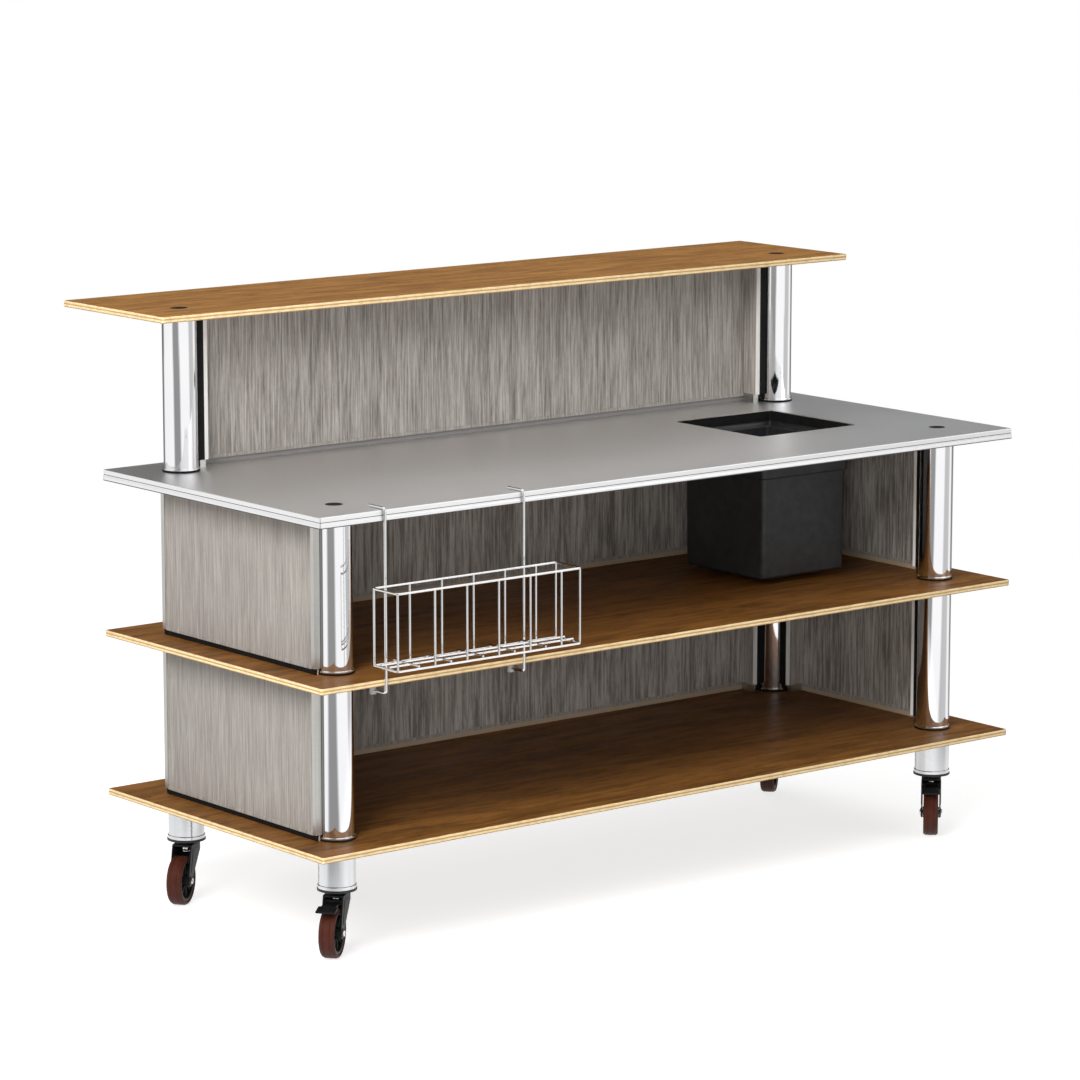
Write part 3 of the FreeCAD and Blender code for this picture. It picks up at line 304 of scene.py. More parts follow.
def make_skin_group() -> ShaderGroup:
    """Makes the fine pebbled skin of moulded plastic, powder coat and rubber.

    Returns:
        The group.
    """
    group = ShaderGroup("moulded_skin", {"Vector": ORIGIN, "Scale": 900.0}, ("Height",))
    graph, given = group.graph, group.given
    cells = graph.add("ShaderNodeTexVoronoi", {"Vector": given["Vector"],
                                               "Scale": given["Scale"]}, feature="SMOOTH_F1")
    soft = graph.noise(given["Vector"], graph.product(given["Scale"], 0.4), detail=2.0)
    group.close({"Height": graph.math("ADD", cells.outputs[0], soft)})
    return group


def make_dust_group() -> ShaderGroup:
    """Makes a mask of the fine dust that settles on faces that look up.

    Returns:
        The group. Its mask is at most Amount.
    """
    group = ShaderGroup("settled_dust", {"Vector": ORIGIN, "Normal": UPRIGHT, "Amount": 0.2},
                        ("Mask",))
    graph, given = group.graph, group.given
    facing = graph.span(graph.upward(given["Normal"]), 0.0, 1.0, start=0.2)
    cloudy = graph.noise(given["Vector"], 24.0, detail=6.0, roughness=0.7)
    patches = graph.span(cloudy, 0.2, 1.0, start=0.35, end=0.7)
    group.close({"Mask": graph.product(graph.product(facing, patches), given["Amount"])})
    return group


def make_ply_group() -> ShaderGroup:
    """Makes the edge of a laid-up board: where it shows, and the lines of its plies.

    Returns:
        The group. Ply is the height of a pair of plies, and Foot the board's lowest level.
    """
    group = ShaderGroup("ply_edge", {"Vector": ORIGIN, "Normal": UPRIGHT, "Ply": 0.0065,
                                     "Foot": 0.0}, ("Edge", "Line"))
    graph, given = group.graph, group.given
    tilt = graph.math("ABSOLUTE", graph.upward(given["Normal"]))
    edge = graph.span(tilt, 1.0, 0.0, start=0.90, end=0.985)
    level = graph.math("SUBTRACT", graph.upward(given["Vector"]), given["Foot"])
    plies = graph.math("DIVIDE", level, given["Ply"])
    uneven = graph.noise(given["Vector"], 30.0, detail=2.0)
    shifted = graph.math("MULTIPLY_ADD", uneven, 0.25, plies)
    wave = graph.math("SINE", graph.product(shifted, FULL_TURN))
    group.close({"Edge": edge, "Line": graph.span(wave, 0.0, 1.0, start=-0.2, end=0.7)})
    return group


GRAIN = make_grain_group()
HANDLING = make_handling_group()
SKIN = make_skin_group()
DUST = make_dust_group()
PLY = make_ply_group()


@dataclass(frozen=True)
class Surface:
    """A material while it is painted: the place and direction on the piece, and the shader."""

    graph: Graph
    place: Socket
    normal: Socket
    shader: Node

    def streaks(self, stretch: Point, waviness: float, fine: float, contrast: float) -> Outputs:
        """Puts in long streaks.

        Args:
            stretch: How dense they are along each axis.
            waviness: How much they wander.
            fine: The share of the finest ones, from 0 to 1.
            contrast: How far they part from the middle tone.

        Returns:
            Their tone and height.
        """
        return GRAIN.place(self.graph, {"Vector": self.place, "Stretch": stretch,
                                        "Waviness": waviness, "Fine Share": fine,
                                        "Contrast": contrast})

    def handled(self, scale: float, low: float, high: float) -> Socket:
        """Gives a roughness that handling has made uneven."""
        return HANDLING.place(self.graph, {"Vector": self.place, "Scale": scale, "Low": low,
                                           "High": high})["Roughness"]

    def feed(self, **values: Socket) -> None:
        """Links varying values to the shader's inputs, with _ for each space in a name."""
        self.graph.fill(self.shader, {name.replace("_", " "): value
                                      for name, value in values.items()})

    def bump(self, height: Socket, strength: float, distance: float) -> None:
        """Links a height to the shader's normal through a Bump node."""
        node = self.graph.add("ShaderNodeBump", {"Strength": strength, "Distance": distance,
                                                 "Height": height})
        self.feed(Normal=node.outputs[0])


@dataclass(frozen=True)
class Finish:
    """A finish: what every material of the station has in common."""

    name: str
    slot: Slot
    specular: float = field(default=0.5, kw_only=True)
    coat: float = field(default=0.0, kw_only=True)
    coat_roughness: float = field(default=0.1, kw_only=True)

    def material(self) -> bpy.types.Material:
        """Gives the finish's material, made the first time that it is asked for.

        Returns:
            The material.
        """
        known = bpy.data.materials.get(self.name)
        if known:
            return known
        made, graph = blank(bpy.data.materials, self.name)
        place = graph.add("ShaderNodeTexCoord").outputs
        shader = graph.add("ShaderNodeBsdfPrincipled", {
            "Specular IOR Level": self.specular, "Coat Weight": self.coat,
            "Coat Roughness": self.coat_roughness})
        self.paint(Surface(graph, place["Object"], place["Normal"], shader))
        graph.add("ShaderNodeOutputMaterial", {"Surface": shader.outputs[0]})
        return made

    def paint(self, on: Surface) -> None:
        """Links the finish's own colours and bumps. Each kind of finish has its own."""
        raise NotImplementedError


def blank(store: bpy.types.bpy_prop_collection, name: str) -> tuple[bpy.types.ID, Graph]:
    """Makes a material or world without nodes.

    Args:
        store: Blender's list of materials or worlds.
        name: The new one's name.

    Returns:
        The material or world, and the graph of its nodes.
    """
    made = store.new(name)
    made.use_nodes = True
    made.node_tree.nodes.clear()
    return made, Graph(made.node_tree)


@dataclass(frozen=True)
class Plywood(Finish):
    """Lacquered plywood: figured faces, and a pale edge with the lines of its plies."""

    dark: Colour
    light: Colour
    foot: float
    ply: float = 0.0065
    edge: Colour = (0.93, 0.73, 0.42)
    line: Colour = (0.40, 0.21, 0.07)
    line_share: float = 0.75

    def paint(self, on: Surface) -> None:
        """Paints the figured faces and the edge.

        Args:
            on: The material.
        """
        graph = on.graph
        broad = on.streaks((1.1, 11.0, 11.0), waviness=0.9, fine=0.3, contrast=2.6)
        figure = on.streaks((7.0, 46.0, 46.0), waviness=0.7, fine=0.35, contrast=5.0)
        pores = on.streaks((9.0, 420.0, 420.0), waviness=0.1, fine=0.5, contrast=2.4)
        tone = graph.mixed((broad["Tone"], 0.32), (figure["Tone"], 0.42), (pores["Tone"], 0.20))
        face = graph.blend(tone, self.dark, self.light)
        laid = PLY.place(graph, {"Vector": on.place, "Normal": on.normal, "Ply": self.ply,
                                 "Foot": self.foot})
        band = graph.blend(graph.product(laid["Line"], self.line_share), self.edge, self.line)
        marks = graph.span(graph.noise(on.place, 60.0), 0.0, 0.28, start=0.45, end=0.7)
        band = graph.blend(marks, band, self.line)
        on.feed(Base_Color=graph.blend(laid["Edge"], face, band),
                Roughness=on.handled(3.0, low=0.42, high=0.54))
        on.bump(pores["Height"], strength=0.12, distance=0.0006)


@dataclass(frozen=True)
class Laminate(Finish):
    """Grey laminate with upright fibres of light and dark wood."""

    liveliness: float = 1.0
    fibres: float = 230.0
    dark: Colour = (0.165, 0.147, 0.131)
    middle: Colour = (0.322, 0.296, 0.269)
    light: Colour = (0.500, 0.468, 0.430)

    def paint(self, on: Surface) -> None:
        """Paints broad boards of tone, upright fibres and fine pores.

        Args:
            on: The material.
        """
        graph = on.graph
        boards = on.streaks((22.0, 22.0, 1.1), waviness=0.4, fine=0.3,
                            contrast=2.0 * self.liveliness)
        fibres = on.streaks((self.fibres, self.fibres, 9.0), waviness=0.15, fine=0.3,
                            contrast=3.0 * self.liveliness)
        pores = on.streaks((520.0, 520.0, 16.0), waviness=0.0, fine=0.5, contrast=2.0)
        tone = graph.mixed((pores["Tone"], 0.22), (boards["Tone"], 0.24), (fibres["Tone"], 0.54))
        shade = graph.ramp(tone, ((0.22, self.dark), (0.5, self.middle), (0.80, self.light)))
        on.feed(Base_Color=shade, Roughness=on.handled(4.0, low=0.42, high=0.56))
        on.bump(pores["Height"], strength=0.15, distance=0.0004)


@dataclass(frozen=True)
class Metal(Finish):
    """Bare, plated or brushed metal."""

    colour: Colour
    shade: Colour
    gloss: Flat
    marks: float = 7.0
    brush: Point | None = None
    brush_depth: float = 0.0
    # Painted light on a folded edge: shade lines as height and half width, the highlight colour
    # and the line colour.
    painted_shade_lines: tuple[Flat, ...] = ()
    painted_edge_highlight: Colour = (0.97, 0.97, 0.97)
    painted_line_shade: Colour = (0.12, 0.12, 0.12)

    def paint(self, on: Surface) -> None:
        """Paints the metal with its wiping marks, and its brushed lines where it has them.

        Args:
            on: The material.
        """
        graph = on.graph
        on.shader.inputs["Metallic"].default_value = 1.0
        rough = on.handled(self.marks, *self.gloss)
        cloudy = graph.noise(on.place, self.marks * 0.6, detail=4.0)
        tone = graph.span(cloudy, 0.0, 1.0, start=0.3, end=0.7)
        if self.brush:
            lines = on.streaks(self.brush, waviness=0.0, fine=0.5, contrast=2.0)
            tone = graph.mixed((tone, 0.4), (lines["Tone"], 0.6))
            rough = graph.math("MULTIPLY_ADD", lines["Tone"], self.brush_depth, rough)
            on.bump(lines["Height"], strength=0.08, distance=0.0002)
        shade = graph.blend(tone, self.shade, self.colour)
        # Painted light on a folded edge: a painted highlight and painted shade lines.
        if self.painted_shade_lines:
            shade = self.painted_edge_light(on, shade)
        on.feed(Base_Color=shade, Roughness=rough)

    def painted_edge_light(self, on: Surface, shade: Socket) -> Socket:
        """Paints a highlight on the upright edge of a folded sheet, and painted shade lines across
        it: the shadow under its fold and a darker line higher up.

        Args:
            on: The material.
            shade: The colour so far.

        Returns:
            The colour with the edge.
        """
        graph = on.graph
        tilt = graph.math("ABSOLUTE", graph.upward(on.normal))
        height = graph.upward(on.place)
        side = graph.span(tilt, 1.0, 0.0, start=0.5, end=0.9)
        # Painted highlight on the upright faces.
        shade = graph.blend(side, shade, self.painted_edge_highlight)
        for level, half in self.painted_shade_lines:
            # Painted shade lines at the given heights.
            away = graph.math("ABSOLUTE", graph.math("SUBTRACT", height, level))
            line = graph.span(away, 1.0, 0.0, start=half * 0.6, end=half)
            shade = graph.blend(graph.product(line, side), shade, self.painted_line_shade)
        return shade


@dataclass(frozen=True)
class Coating(Finish):
    """Moulded plastic, powder coat or rubber, with a fine skin and a little dust."""

    colour: Colour
    light: Colour
    gloss: Flat
    skin_scale: float = 900.0
    skin_depth: float = 0.0003
    dust: float = 0.12

    def paint(self, on: Surface) -> None:
        """Paints the mottled colour, the skin and the dust.

        Args:
            on: The material.
        """
        graph = on.graph
        cloudy = graph.noise(on.place, 45.0, detail=5.0, roughness=0.65)
        mottle = graph.span(cloudy, 0.0, 0.6, start=0.35, end=0.7)
        mask = DUST.place(graph, {"Vector": on.place, "Normal": on.normal, "Amount": self.dust})
        share = graph.math("ADD", graph.product(mottle, 0.4), mask["Mask"])
        on.feed(Base_Color=graph.blend(share, self.colour, self.light),
                Roughness=on.handled(14.0, *self.gloss))
        skin = SKIN.place(graph, {"Vector": on.place, "Scale": self.skin_scale})
        on.bump(skin["Height"], strength=0.25, distance=self.skin_depth)


def grey(level: float) -> Colour:
    """Gives an even grey."""
    return (level, level, level)


def board_finish(name: str, foot: float) -> Plywood:
    """Gives the plywood of one board, with plies counted up from its foot. A shelf gets darker
    colours: painted shade for the boards over it.
    """
    # Painted shade: the shelves are the same plywood, darkened for the shade that the boards over
    # them cast.
    dark, light = (((0.040, 0.015, 0.004), (0.410, 0.176, 0.042)) if "shelf" in name
                   else ((0.110, 0.042, 0.009), (0.585, 0.276, 0.066)))
    return Plywood(name, Slot.PLYWOOD, dark, light, foot, specular=0.1, coat=0.02,
                   coat_roughness=0.18)


# The skin's edge gets a painted highlight, a painted shadow line under its fold at 0.8683 and a
# darker painted line at 0.8800.
STAINLESS = Metal("brushed_stainless", Slot.STAINLESS, (0.88, 0.885, 0.89), (0.80, 0.805, 0.81),
                  (0.39, 0.42), marks=1.6, brush=(1.2, 420.0, 420.0), brush_depth=0.04,
                  painted_shade_lines=((0.8683, 0.0018), (0.8800, 0.0008)))
CHROME = Metal("polished_chrome", Slot.CHROME_TUBE, (0.96, 0.96, 0.97), (0.90, 0.90, 0.92),
               (0.035, 0.075))
SLEEVE = Metal("satin_sleeve", Slot.CHROME_TUBE, (0.78, 0.79, 0.80), (0.56, 0.57, 0.59),
               (0.12, 0.20), marks=10.0, brush=(150.0, 150.0, 4.0), brush_depth=0.05)
WIRE = Metal("plated_wire", Slot.WIRE, (0.88, 0.88, 0.87), (0.76, 0.76, 0.75), (0.08, 0.16),
             marks=30.0)
ZINC = Metal("zinc_plate", Slot.ZINC_STEEL, (0.62, 0.62, 0.58), (0.48, 0.47, 0.43), (0.28, 0.42),
             marks=40.0)
TURNED_ALUMINIUM = Metal("turned_aluminium", Slot.SOCKET_ALUMINIUM, grey(0.72), grey(0.60),
                         (0.25, 0.36), marks=25.0, brush=(30.0, 30.0, 1500.0),
                         brush_depth=0.08)
TRIM = Metal("satin_trim", Slot.TRIM_ALUMINIUM, (0.62, 0.61, 0.58), (0.50, 0.49, 0.46),
             (0.26, 0.36), marks=12.0, brush=(6.0, 6.0, 500.0), brush_depth=0.05)
BOLT = Metal("bright_bolt", Slot.BRIGHT_STEEL, grey(0.84), grey(0.70), (0.12, 0.22), marks=60.0)
CAP_RIM = Metal("dark_cap_rim", Slot.CAP, (0.10, 0.09, 0.085), (0.06, 0.055, 0.05), (0.30, 0.42))
PANEL = Laminate("grey_laminate", Slot.LAMINATE, liveliness=1.8, fibres=165.0)
END_PANEL = Laminate("calm_laminate", Slot.LAMINATE, liveliness=0.7)
UPPER_PANEL = Laminate("fine_laminate", Slot.LAMINATE, liveliness=1.4)
RAIL = Laminate("laminate_rail", Slot.TRIM_ALUMINIUM)
# Pale coating on the clip lips: their own pale colour and, in part, the painted highlight of the
# aluminium.
CLIP_PALE_HIGHLIGHT = Coating("pale_clip", Slot.TRIM_ALUMINIUM, (0.80, 0.78, 0.74), (0.88, 0.86, 0.83),
                    (0.28, 0.40), dust=0.0)
# Black painted shade on the clip rails and trims beside the posts.
CLIP_SHADE = Coating("black_clip", Slot.TRIM_ALUMINIUM, grey(0.006), grey(0.020), (0.5, 0.6),
                     dust=0.0, specular=0.2)
# Cream rail colour: painted reflection of the plywood on the inner half of the gap strips.
RAIL_WOOD_REFLECTION = Coating("cream_rail", Slot.TRIM_ALUMINIUM, (0.44, 0.34, 0.23), (0.56, 0.45, 0.33),
                     (0.35, 0.45), dust=0.0)
RAIL_GREY = Coating("grey_rail", Slot.TRIM_ALUMINIUM, (0.22, 0.205, 0.20), (0.30, 0.285, 0.28),
                    (0.45, 0.55), dust=0.0)
CAP_DISH = Coating("cap_dish_black", Slot.CAP, (0.010, 0.007, 0.006), (0.03, 0.024, 0.02),
                   (0.40, 0.5), dust=0.0, specular=0.06)
RING_BLACK = Coating("ring_black", Slot.BLACK_RING, grey(0.010), grey(0.04), (0.38, 0.5))
# Black rubber of the real gaskets. The same black paints shade as the gap strips, the tube foot
# rings and the cut-out strip.
GASKET = Coating("gasket_rubber", Slot.GASKET, grey(0.006), grey(0.022), (0.6, 0.75), dust=0.02,
                 specular=0.15)
POWDER = Coating("black_powder_coat", Slot.BLACK_STEEL, (0.010, 0.010, 0.011), grey(0.045),
                 (0.36, 0.5))
BIN = Coating("bin_charcoal", Slot.BIN_PLASTIC, (0.016, 0.017, 0.018), (0.068, 0.070, 0.072),
              (0.34, 0.46), skin_depth=0.0004, specular=0.40)
BUMPER = Coating("bumper_rubber", Slot.BUMPER, (0.42, 0.42, 0.40), (0.58, 0.58, 0.55),
                 (0.45, 0.6), skin_scale=1400.0)
FORK_BLACK = Coating("fork_black", Slot.CASTER_STEEL, grey(0.005), grey(0.020), (0.34, 0.46),
                     dust=0.03, specular=0.22)
WHEEL_GREY = Coating("wheel_core_grey", Slot.WHEEL_CORE, (0.010, 0.010, 0.009),
                     (0.035, 0.033, 0.030), (0.40, 0.52), specular=0.25)
TYRE = Coating("tyre_red_brown", Slot.TYRE, (0.050, 0.011, 0.006), (0.11, 0.042, 0.026),
               (0.45, 0.6), skin_scale=500.0, dust=0.15, specular=0.25)


def new_object(name: str, data: bpy.types.ID) -> Piece:
    """Makes an object at the origin and puts it in the scene.

    Args:
        name: The object's name.
        data: Its mesh, light or camera.

    Returns:
        The object.
    """
    made = bpy.data.objects.new(name, data)
    bpy.context.scene.collection.objects.link(made)
    return made


def aimed_object(name: str, data: bpy.types.ID, place: Point, aim: Point) -> Piece:
    """Makes a lamp or camera that looks at a point.

    Args:
        name: The object's name.
        data: Its light or camera.
        place: Where it stands.
        aim: The point that it looks at.

    Returns:
        The object.
    """
    made = new_object(name, data)
    made.location = place
    made.rotation_euler = (Vector(aim) - Vector(place)).to_track_quat("-Z", "Y").to_euler()
    return made


def plain_mesh(source: Piece, name: str) -> Mesh:
    """Turns an object's evaluated shape into a plain mesh, and removes its modifiers.

    Args:
        source: The object with its modifiers.
        name: The new mesh's name.

    Returns:
        The mesh. The source object keeps its old one.
    """
    bpy.context.view_layer.update()
    graph = bpy.context.evaluated_depsgraph_get()
    made = bpy.data.meshes.new_from_object(source.evaluated_get(graph), depsgraph=graph)
    made.name = name
    source.modifiers.clear()
    return made


def even_shading(piece: Piece, angle: float = SHARP_ANGLE) -> None:
    """Shades a piece smooth up to an angle, with flat faces kept flat.

    Args:
        piece: The piece.
        angle: Edges that turn more than this stay sharp.
    """
    piece.data.shade_smooth()
    piece.data.set_sharp_from_angle(angle=angle)
    weighted = piece.modifiers.new("even_shading", "WEIGHTED_NORMAL")
    weighted.keep_sharp = True
    weighted.weight = 100
    old = piece.data
    piece.data = plain_mesh(piece, old.name)
    bpy.data.meshes.remove(old)


def saved_mesh(shape: Shape, name: str) -> Mesh:
    """Turns a worked shape into a mesh.

    Args:
        shape: The shape, which is used up.
        name: The mesh's name.

    Returns:
        The mesh.
    """
    mesh = bpy.data.meshes.new(name)
    shape.to_mesh(mesh)
    shape.free()
    return mesh


def finish_mesh(shape: Shape, name: str) -> Mesh:
    """Turns a worked shape into a mesh without doubles, whose faces all point outwards.

    Args:
        shape: The shape, which is used up.
        name: The mesh's name.

    Returns:
        The mesh.
    """
    bmesh.ops.remove_doubles(shape, verts=shape.verts, dist=WELD_DISTANCE)
    bmesh.ops.recalc_face_normals(shape, faces=shape.faces)
    return saved_mesh(shape, name)


def put_in_place(piece: Piece, body: str, finish: Finish, *nodes: str) -> None:
    """Gives a finished piece its material and its body, and hides the model's nodes that it stands
    for.

    Args:
        piece: The piece, in its place in the model's frame.
        body: The body that it moves with.
        finish: Its finish.
        nodes: The model's nodes that it replaces.
    """
    if not piece.data.materials:
        piece.data.materials.append(finish.material())
    for index, material in enumerate(piece.data.materials):
        if material is None:
            piece.data.materials[index] = finish.material()
    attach(piece, body)
    if nodes:
        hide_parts(*nodes)
    LOG.info("%s: %d faces on body %s", piece.name, len(piece.data.polygons), body)


def join_rows(shape: Shape, near: Sequence[Vert], far: Sequence[Vert]) -> None:
    """Joins two closed rows of points with faces.

    Args:
        shape: The shape that the points are in.
        near: The first row. A point that comes twice in a face counts once.
        far: The second row, of as many points.
    """
    for step in range(len(near)):
        after = (step + 1) % len(near)
        corners = dict.fromkeys((near[step], near[after], far[after], far[step]))
        shape.faces.new(list(corners))


def revolve(name: str, profile: Sequence[Flat], segments: int = TUBE_SEGMENTS,
            closed: bool = False) -> Mesh:
    """Turns a profile about Z.

    Args:
        name: The mesh's name.
        profile: Points as radius and height.
        segments: The number of steps round the axis.
        closed: Whether the profile's last point joins its first, as in a ring.

    Returns:
        The turned mesh.
    """
    shape = bmesh.new()
    rings = []
    for radius, height in profile:
        if radius < WELD_DISTANCE:
            rings.append([shape.verts.new((0.0, 0.0, height))] * segments)
            continue
        rings.append([shape.verts.new((radius * math.cos(FULL_TURN * step / segments),
                                       radius * math.sin(FULL_TURN * step / segments), height))
                      for step in range(segments)])
    for lower, upper in zip(rings, rings[1:] + rings[:1] * closed):
        join_rows(shape, lower, upper)
    return finish_mesh(shape, name)


def arc(centre: Flat, radius: float, start: float, end: float, steps: int = 5) -> list[Flat]:
    """Gives the points of an arc, its ends included. Angles are in degrees."""
    return [(centre[0] + radius * math.cos(math.radians(start + (end - start) * step / steps)),
             centre[1] + radius * math.sin(math.radians(start + (end - start) * step / steps)))
            for step in range(steps + 1)]


def mirrored(half: list[Flat]) -> list[Flat]:
    """Gives an outline in radius and height with its mirror image below."""
    return half + [(radius, -height) for radius, height in reversed(half)]


def rounded_rectangle(centre: Flat, half: Flat, radius: float) -> list[Flat]:
    """Gives a rectangle's outline with round corners.

    Args:
        centre: Its middle.
        half: Half its length and width.
        radius: The corners' radius.

    Returns:
        The points, counter-clockwise.
    """
    points: list[Flat] = []
    for index, (side_x, side_y) in enumerate(((1, 1), (-1, 1), (-1, -1), (1, -1))):
        corner = (centre[0] + side_x * (half[0] - radius), centre[1] + side_y * (half[1] - radius))
        points += arc(corner, radius, 90 * index, 90 * index + 90, CORNER_STEPS)
    return points


def loft(name: str, rings: Sequence[Sequence[Point]], ring_shaped: bool = False) -> Mesh:
    """Joins rings of as many points each with faces.

    Args:
        name: The mesh's name.
        rings: The rings in order.
        ring_shaped: Whether the last ring joins the first. If not, both ends are closed.

    Returns:
        The closed mesh.
    """
    shape = bmesh.new()
    made = [[shape.verts.new(point) for point in ring] for ring in rings]
    for lower, upper in zip(made, made[1:] + made[:1] * ring_shaped):
        join_rows(shape, lower, upper)
    if not ring_shaped:
        shape.faces.new(made[0])
        shape.faces.new(made[-1])
    return finish_mesh(shape, name)


def soften(shape: Shape, width: float) -> None:
    """Rounds every edge that turns much."""
    edges = [edge for edge in shape.edges
             if len(edge.link_faces) == 2 and edge.calc_face_angle(0.0) > SOFTEN_ANGLE]
    bmesh.ops.bevel(shape, geom=edges, offset=width, offset_type="OFFSET", segments=2,
                    profile=0.6, affect="EDGES", clamp_overlap=True)


def cut_plate(name: str, outline: Sequence[Flat], low: float, high: float,
              edge: float = 0.0006) -> Mesh:
    """Makes a plate in the XZ plane with softened edges.

    Args:
        name: The mesh's name.
        outline: Its corners as X and Z.
        low: Where it starts along Y.
        high: Where it ends along Y.
        edge: The width of the soft edge.

    Returns:
        The plate.
    """
    shape = bmesh.new()
    near, far = ([shape.verts.new((x, y, z)) for x, z in outline] for y in (low, high))
    shape.faces.new(near)
    shape.faces.new(far)
    join_rows(shape, near, far)
    bmesh.ops.recalc_face_normals(shape, faces=shape.faces)
    soften(shape, edge)
    return finish_mesh(shape, name)


def block(name: str, low: Sequence[float], high: Sequence[float], edge: float = 0.0008) -> Mesh:
    """Makes a board between two corners with softened edges."""
    outline = [(low[0], low[2]), (high[0], low[2]), (high[0], high[2]), (low[0], high[2])]
    return cut_plate(name, outline, low[1], high[1], edge)


def joined(name: str, meshes: Iterable[Mesh]) -> Mesh:
    """Puts several meshes in one, with their materials, and removes them.

    Args:
        name: The new mesh's name.
        meshes: The meshes.

    Returns:
        The mesh.
    """
    shape = bmesh.new()
    materials: list[bpy.types.Material] = []
    for mesh in meshes:
        before = len(shape.faces)
        shape.from_mesh(mesh)
        shape.faces.ensure_lookup_table()
        for face in shape.faces[before:]:
            face.material_index += len(materials)
        materials.extend(mesh.materials)
        bpy.data.meshes.remove(mesh)
    made = saved_mesh(shape, name)
    for material in materials:
        made.materials.append(material)
    return made


def shaded_piece(name: str, mesh: Mesh, body: str, finish: Finish, *nodes: str,
                 angle: float = SHARP_ANGLE) -> Piece:
    """Makes an evenly shaded piece from a mesh and puts it in place.

    Args:
        name: The piece's name.
        mesh: Its mesh, in its place in the model's frame.
        body: The body that it moves with.
        finish: Its finish.
        nodes: The model's nodes that it replaces.
        angle: Edges that turn more than this stay sharp.

    Returns:
        The piece.
    """
    piece = new_object(name, mesh)
    even_shading(piece, angle)
    put_in_place(piece, body, finish, *nodes)
    return piece


def dressed_copy(name: str, node: str, finish: Finish, edge: float = 0.0) -> Piece:
    """Replaces one of the station's own nodes by a merged, evenly shaded copy.

    Args:
        name: The new piece's name.
        node: The model's node.
        finish: Its finish.
        edge: The width of a soft edge for a node with plain corners, or 0 for none.

    Returns:
        The piece.
    """
    shape = bmesh.new()
    shape.from_mesh(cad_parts[node].data)
    bmesh.ops.remove_doubles(shape, verts=shape.verts, dist=WELD_DISTANCE)
    if edge:
        bmesh.ops.dissolve_limit(shape, angle_limit=FLATNESS, verts=shape.verts,
                                 edges=shape.edges)
        soften(shape, edge)
    return shaded_piece(name, saved_mesh(shape, name), ROOT, finish, node)


def tint(piece: Piece, finish: Finish, chosen: Callable[[Vector, Vector], bool]) -> None:
    """Gives some faces of a piece another finish.

    Args:
        piece: The piece.
        finish: The finish of the chosen faces.
        chosen: Tells from a face's middle and direction whether it is one of them.
    """
    index = len(piece.data.materials)
    piece.data.materials.append(finish.material())
    for face in piece.data.polygons:
        if chosen(face.center, face.normal):
            face.material_index = index


class Recipe:
    """A Geometry Nodes tree with named inputs, which makes plain meshes."""

    def __init__(self, name: str, inputs: dict[str, str]) -> None:
        """Makes the tree's sockets.

        Args:
            name: The tree's name.
            inputs: Each input's label and kind of socket.
        """
        self.tree = bpy.data.node_groups.new(name, "GeometryNodeTree")
        face = self.tree.interface
        for way in ("OUTPUT", "INPUT"):
            face.new_socket("Geometry", in_out=way, socket_type="NodeSocketGeometry")
        self.keys = {label: face.new_socket(label, in_out="INPUT",
                                            socket_type=f"NodeSocket{kind}").identifier
                     for label, kind in {**inputs, "Material": "Material"}.items()}
        self.graph = Graph(self.tree)
        self.given = self.graph.add("NodeGroupInput").outputs

    def close(self, geometry: Socket) -> None:
        """Realizes the instances, sets the material and ends the tree.

        Args:
            geometry: What the tree has made.
        """
        solid = self.graph.add("GeometryNodeRealizeInstances", {"Geometry": geometry})
        painted = self.graph.add("GeometryNodeSetMaterial", {
            "Geometry": solid.outputs[0], "Material": self.given["Material"]})
        self.graph.add("NodeGroupOutput", {"Geometry": painted.outputs[0]})

    def repeat(self, points: Socket, turns: dict[str, Socket] | None = None) -> None:
        """Sets the pattern at every point and ends the tree.

        Args:
            points: The points.
            turns: The input for the copies' turns, where they have any.
        """
        pattern = self.graph.add("GeometryNodeObjectInfo", {"Object": self.given["Pattern"]})
        copies = self.graph.add("GeometryNodeInstanceOnPoints", {
            "Points": points, "Instance": pattern.outputs["Geometry"], **(turns or {})})
        self.close(copies.outputs[0])

    def make(self, name: str, finish: Finish, start: Mesh | None = None,
             **values: object) -> Mesh:
        """Runs the tree once.

        Args:
            name: The new mesh's name.
            finish: The finish of what the tree makes.
            start: The mesh that the tree works on, which is used up.
            values: The tree's inputs, with _ for each space in a label.

        Returns:
            The plain mesh.
        """
        source = new_object(name + "_source", start or bpy.data.meshes.new(name + "_start"))
        modifier = source.modifiers.new("recipe", "NODES")
        modifier.node_group = self.tree
        modifier[self.keys["Material"]] = finish.material()
        for label, value in values.items():
            modifier[self.keys[label.replace("_", " ")]] = value
        mesh = plain_mesh(source, name)
        used = source.data
        bpy.data.objects.remove(source)
        bpy.data.meshes.remove(used)
        return mesh

    def copies(self, name: str, finish: Finish, pattern: Mesh, start: Mesh | None = None,
               **values: object) -> Mesh:
        """Runs a tree that repeats a pattern, and removes the pattern.

        Args:
            name: The new mesh's name.
            finish: Its finish.
            pattern: The mesh that it repeats.
            start: The points that it works on, where the tree takes them.
            values: The tree's other inputs.

        Returns:
            The plain mesh.
        """
        holder = new_object(name + "_pattern", pattern)
        mesh = self.make(name, finish, start, Pattern=holder, **values)
        bpy.data.objects.remove(holder)
        bpy.data.meshes.remove(pattern)
        return mesh


def make_place_recipe() -> Recipe:
    """Makes the tree that sets a pattern at every point.

    Returns:
        The recipe.
    """
    recipe = Recipe("pattern_at_places", {"Pattern": "Object"})
    recipe.repeat(recipe.given["Geometry"])
    return recipe


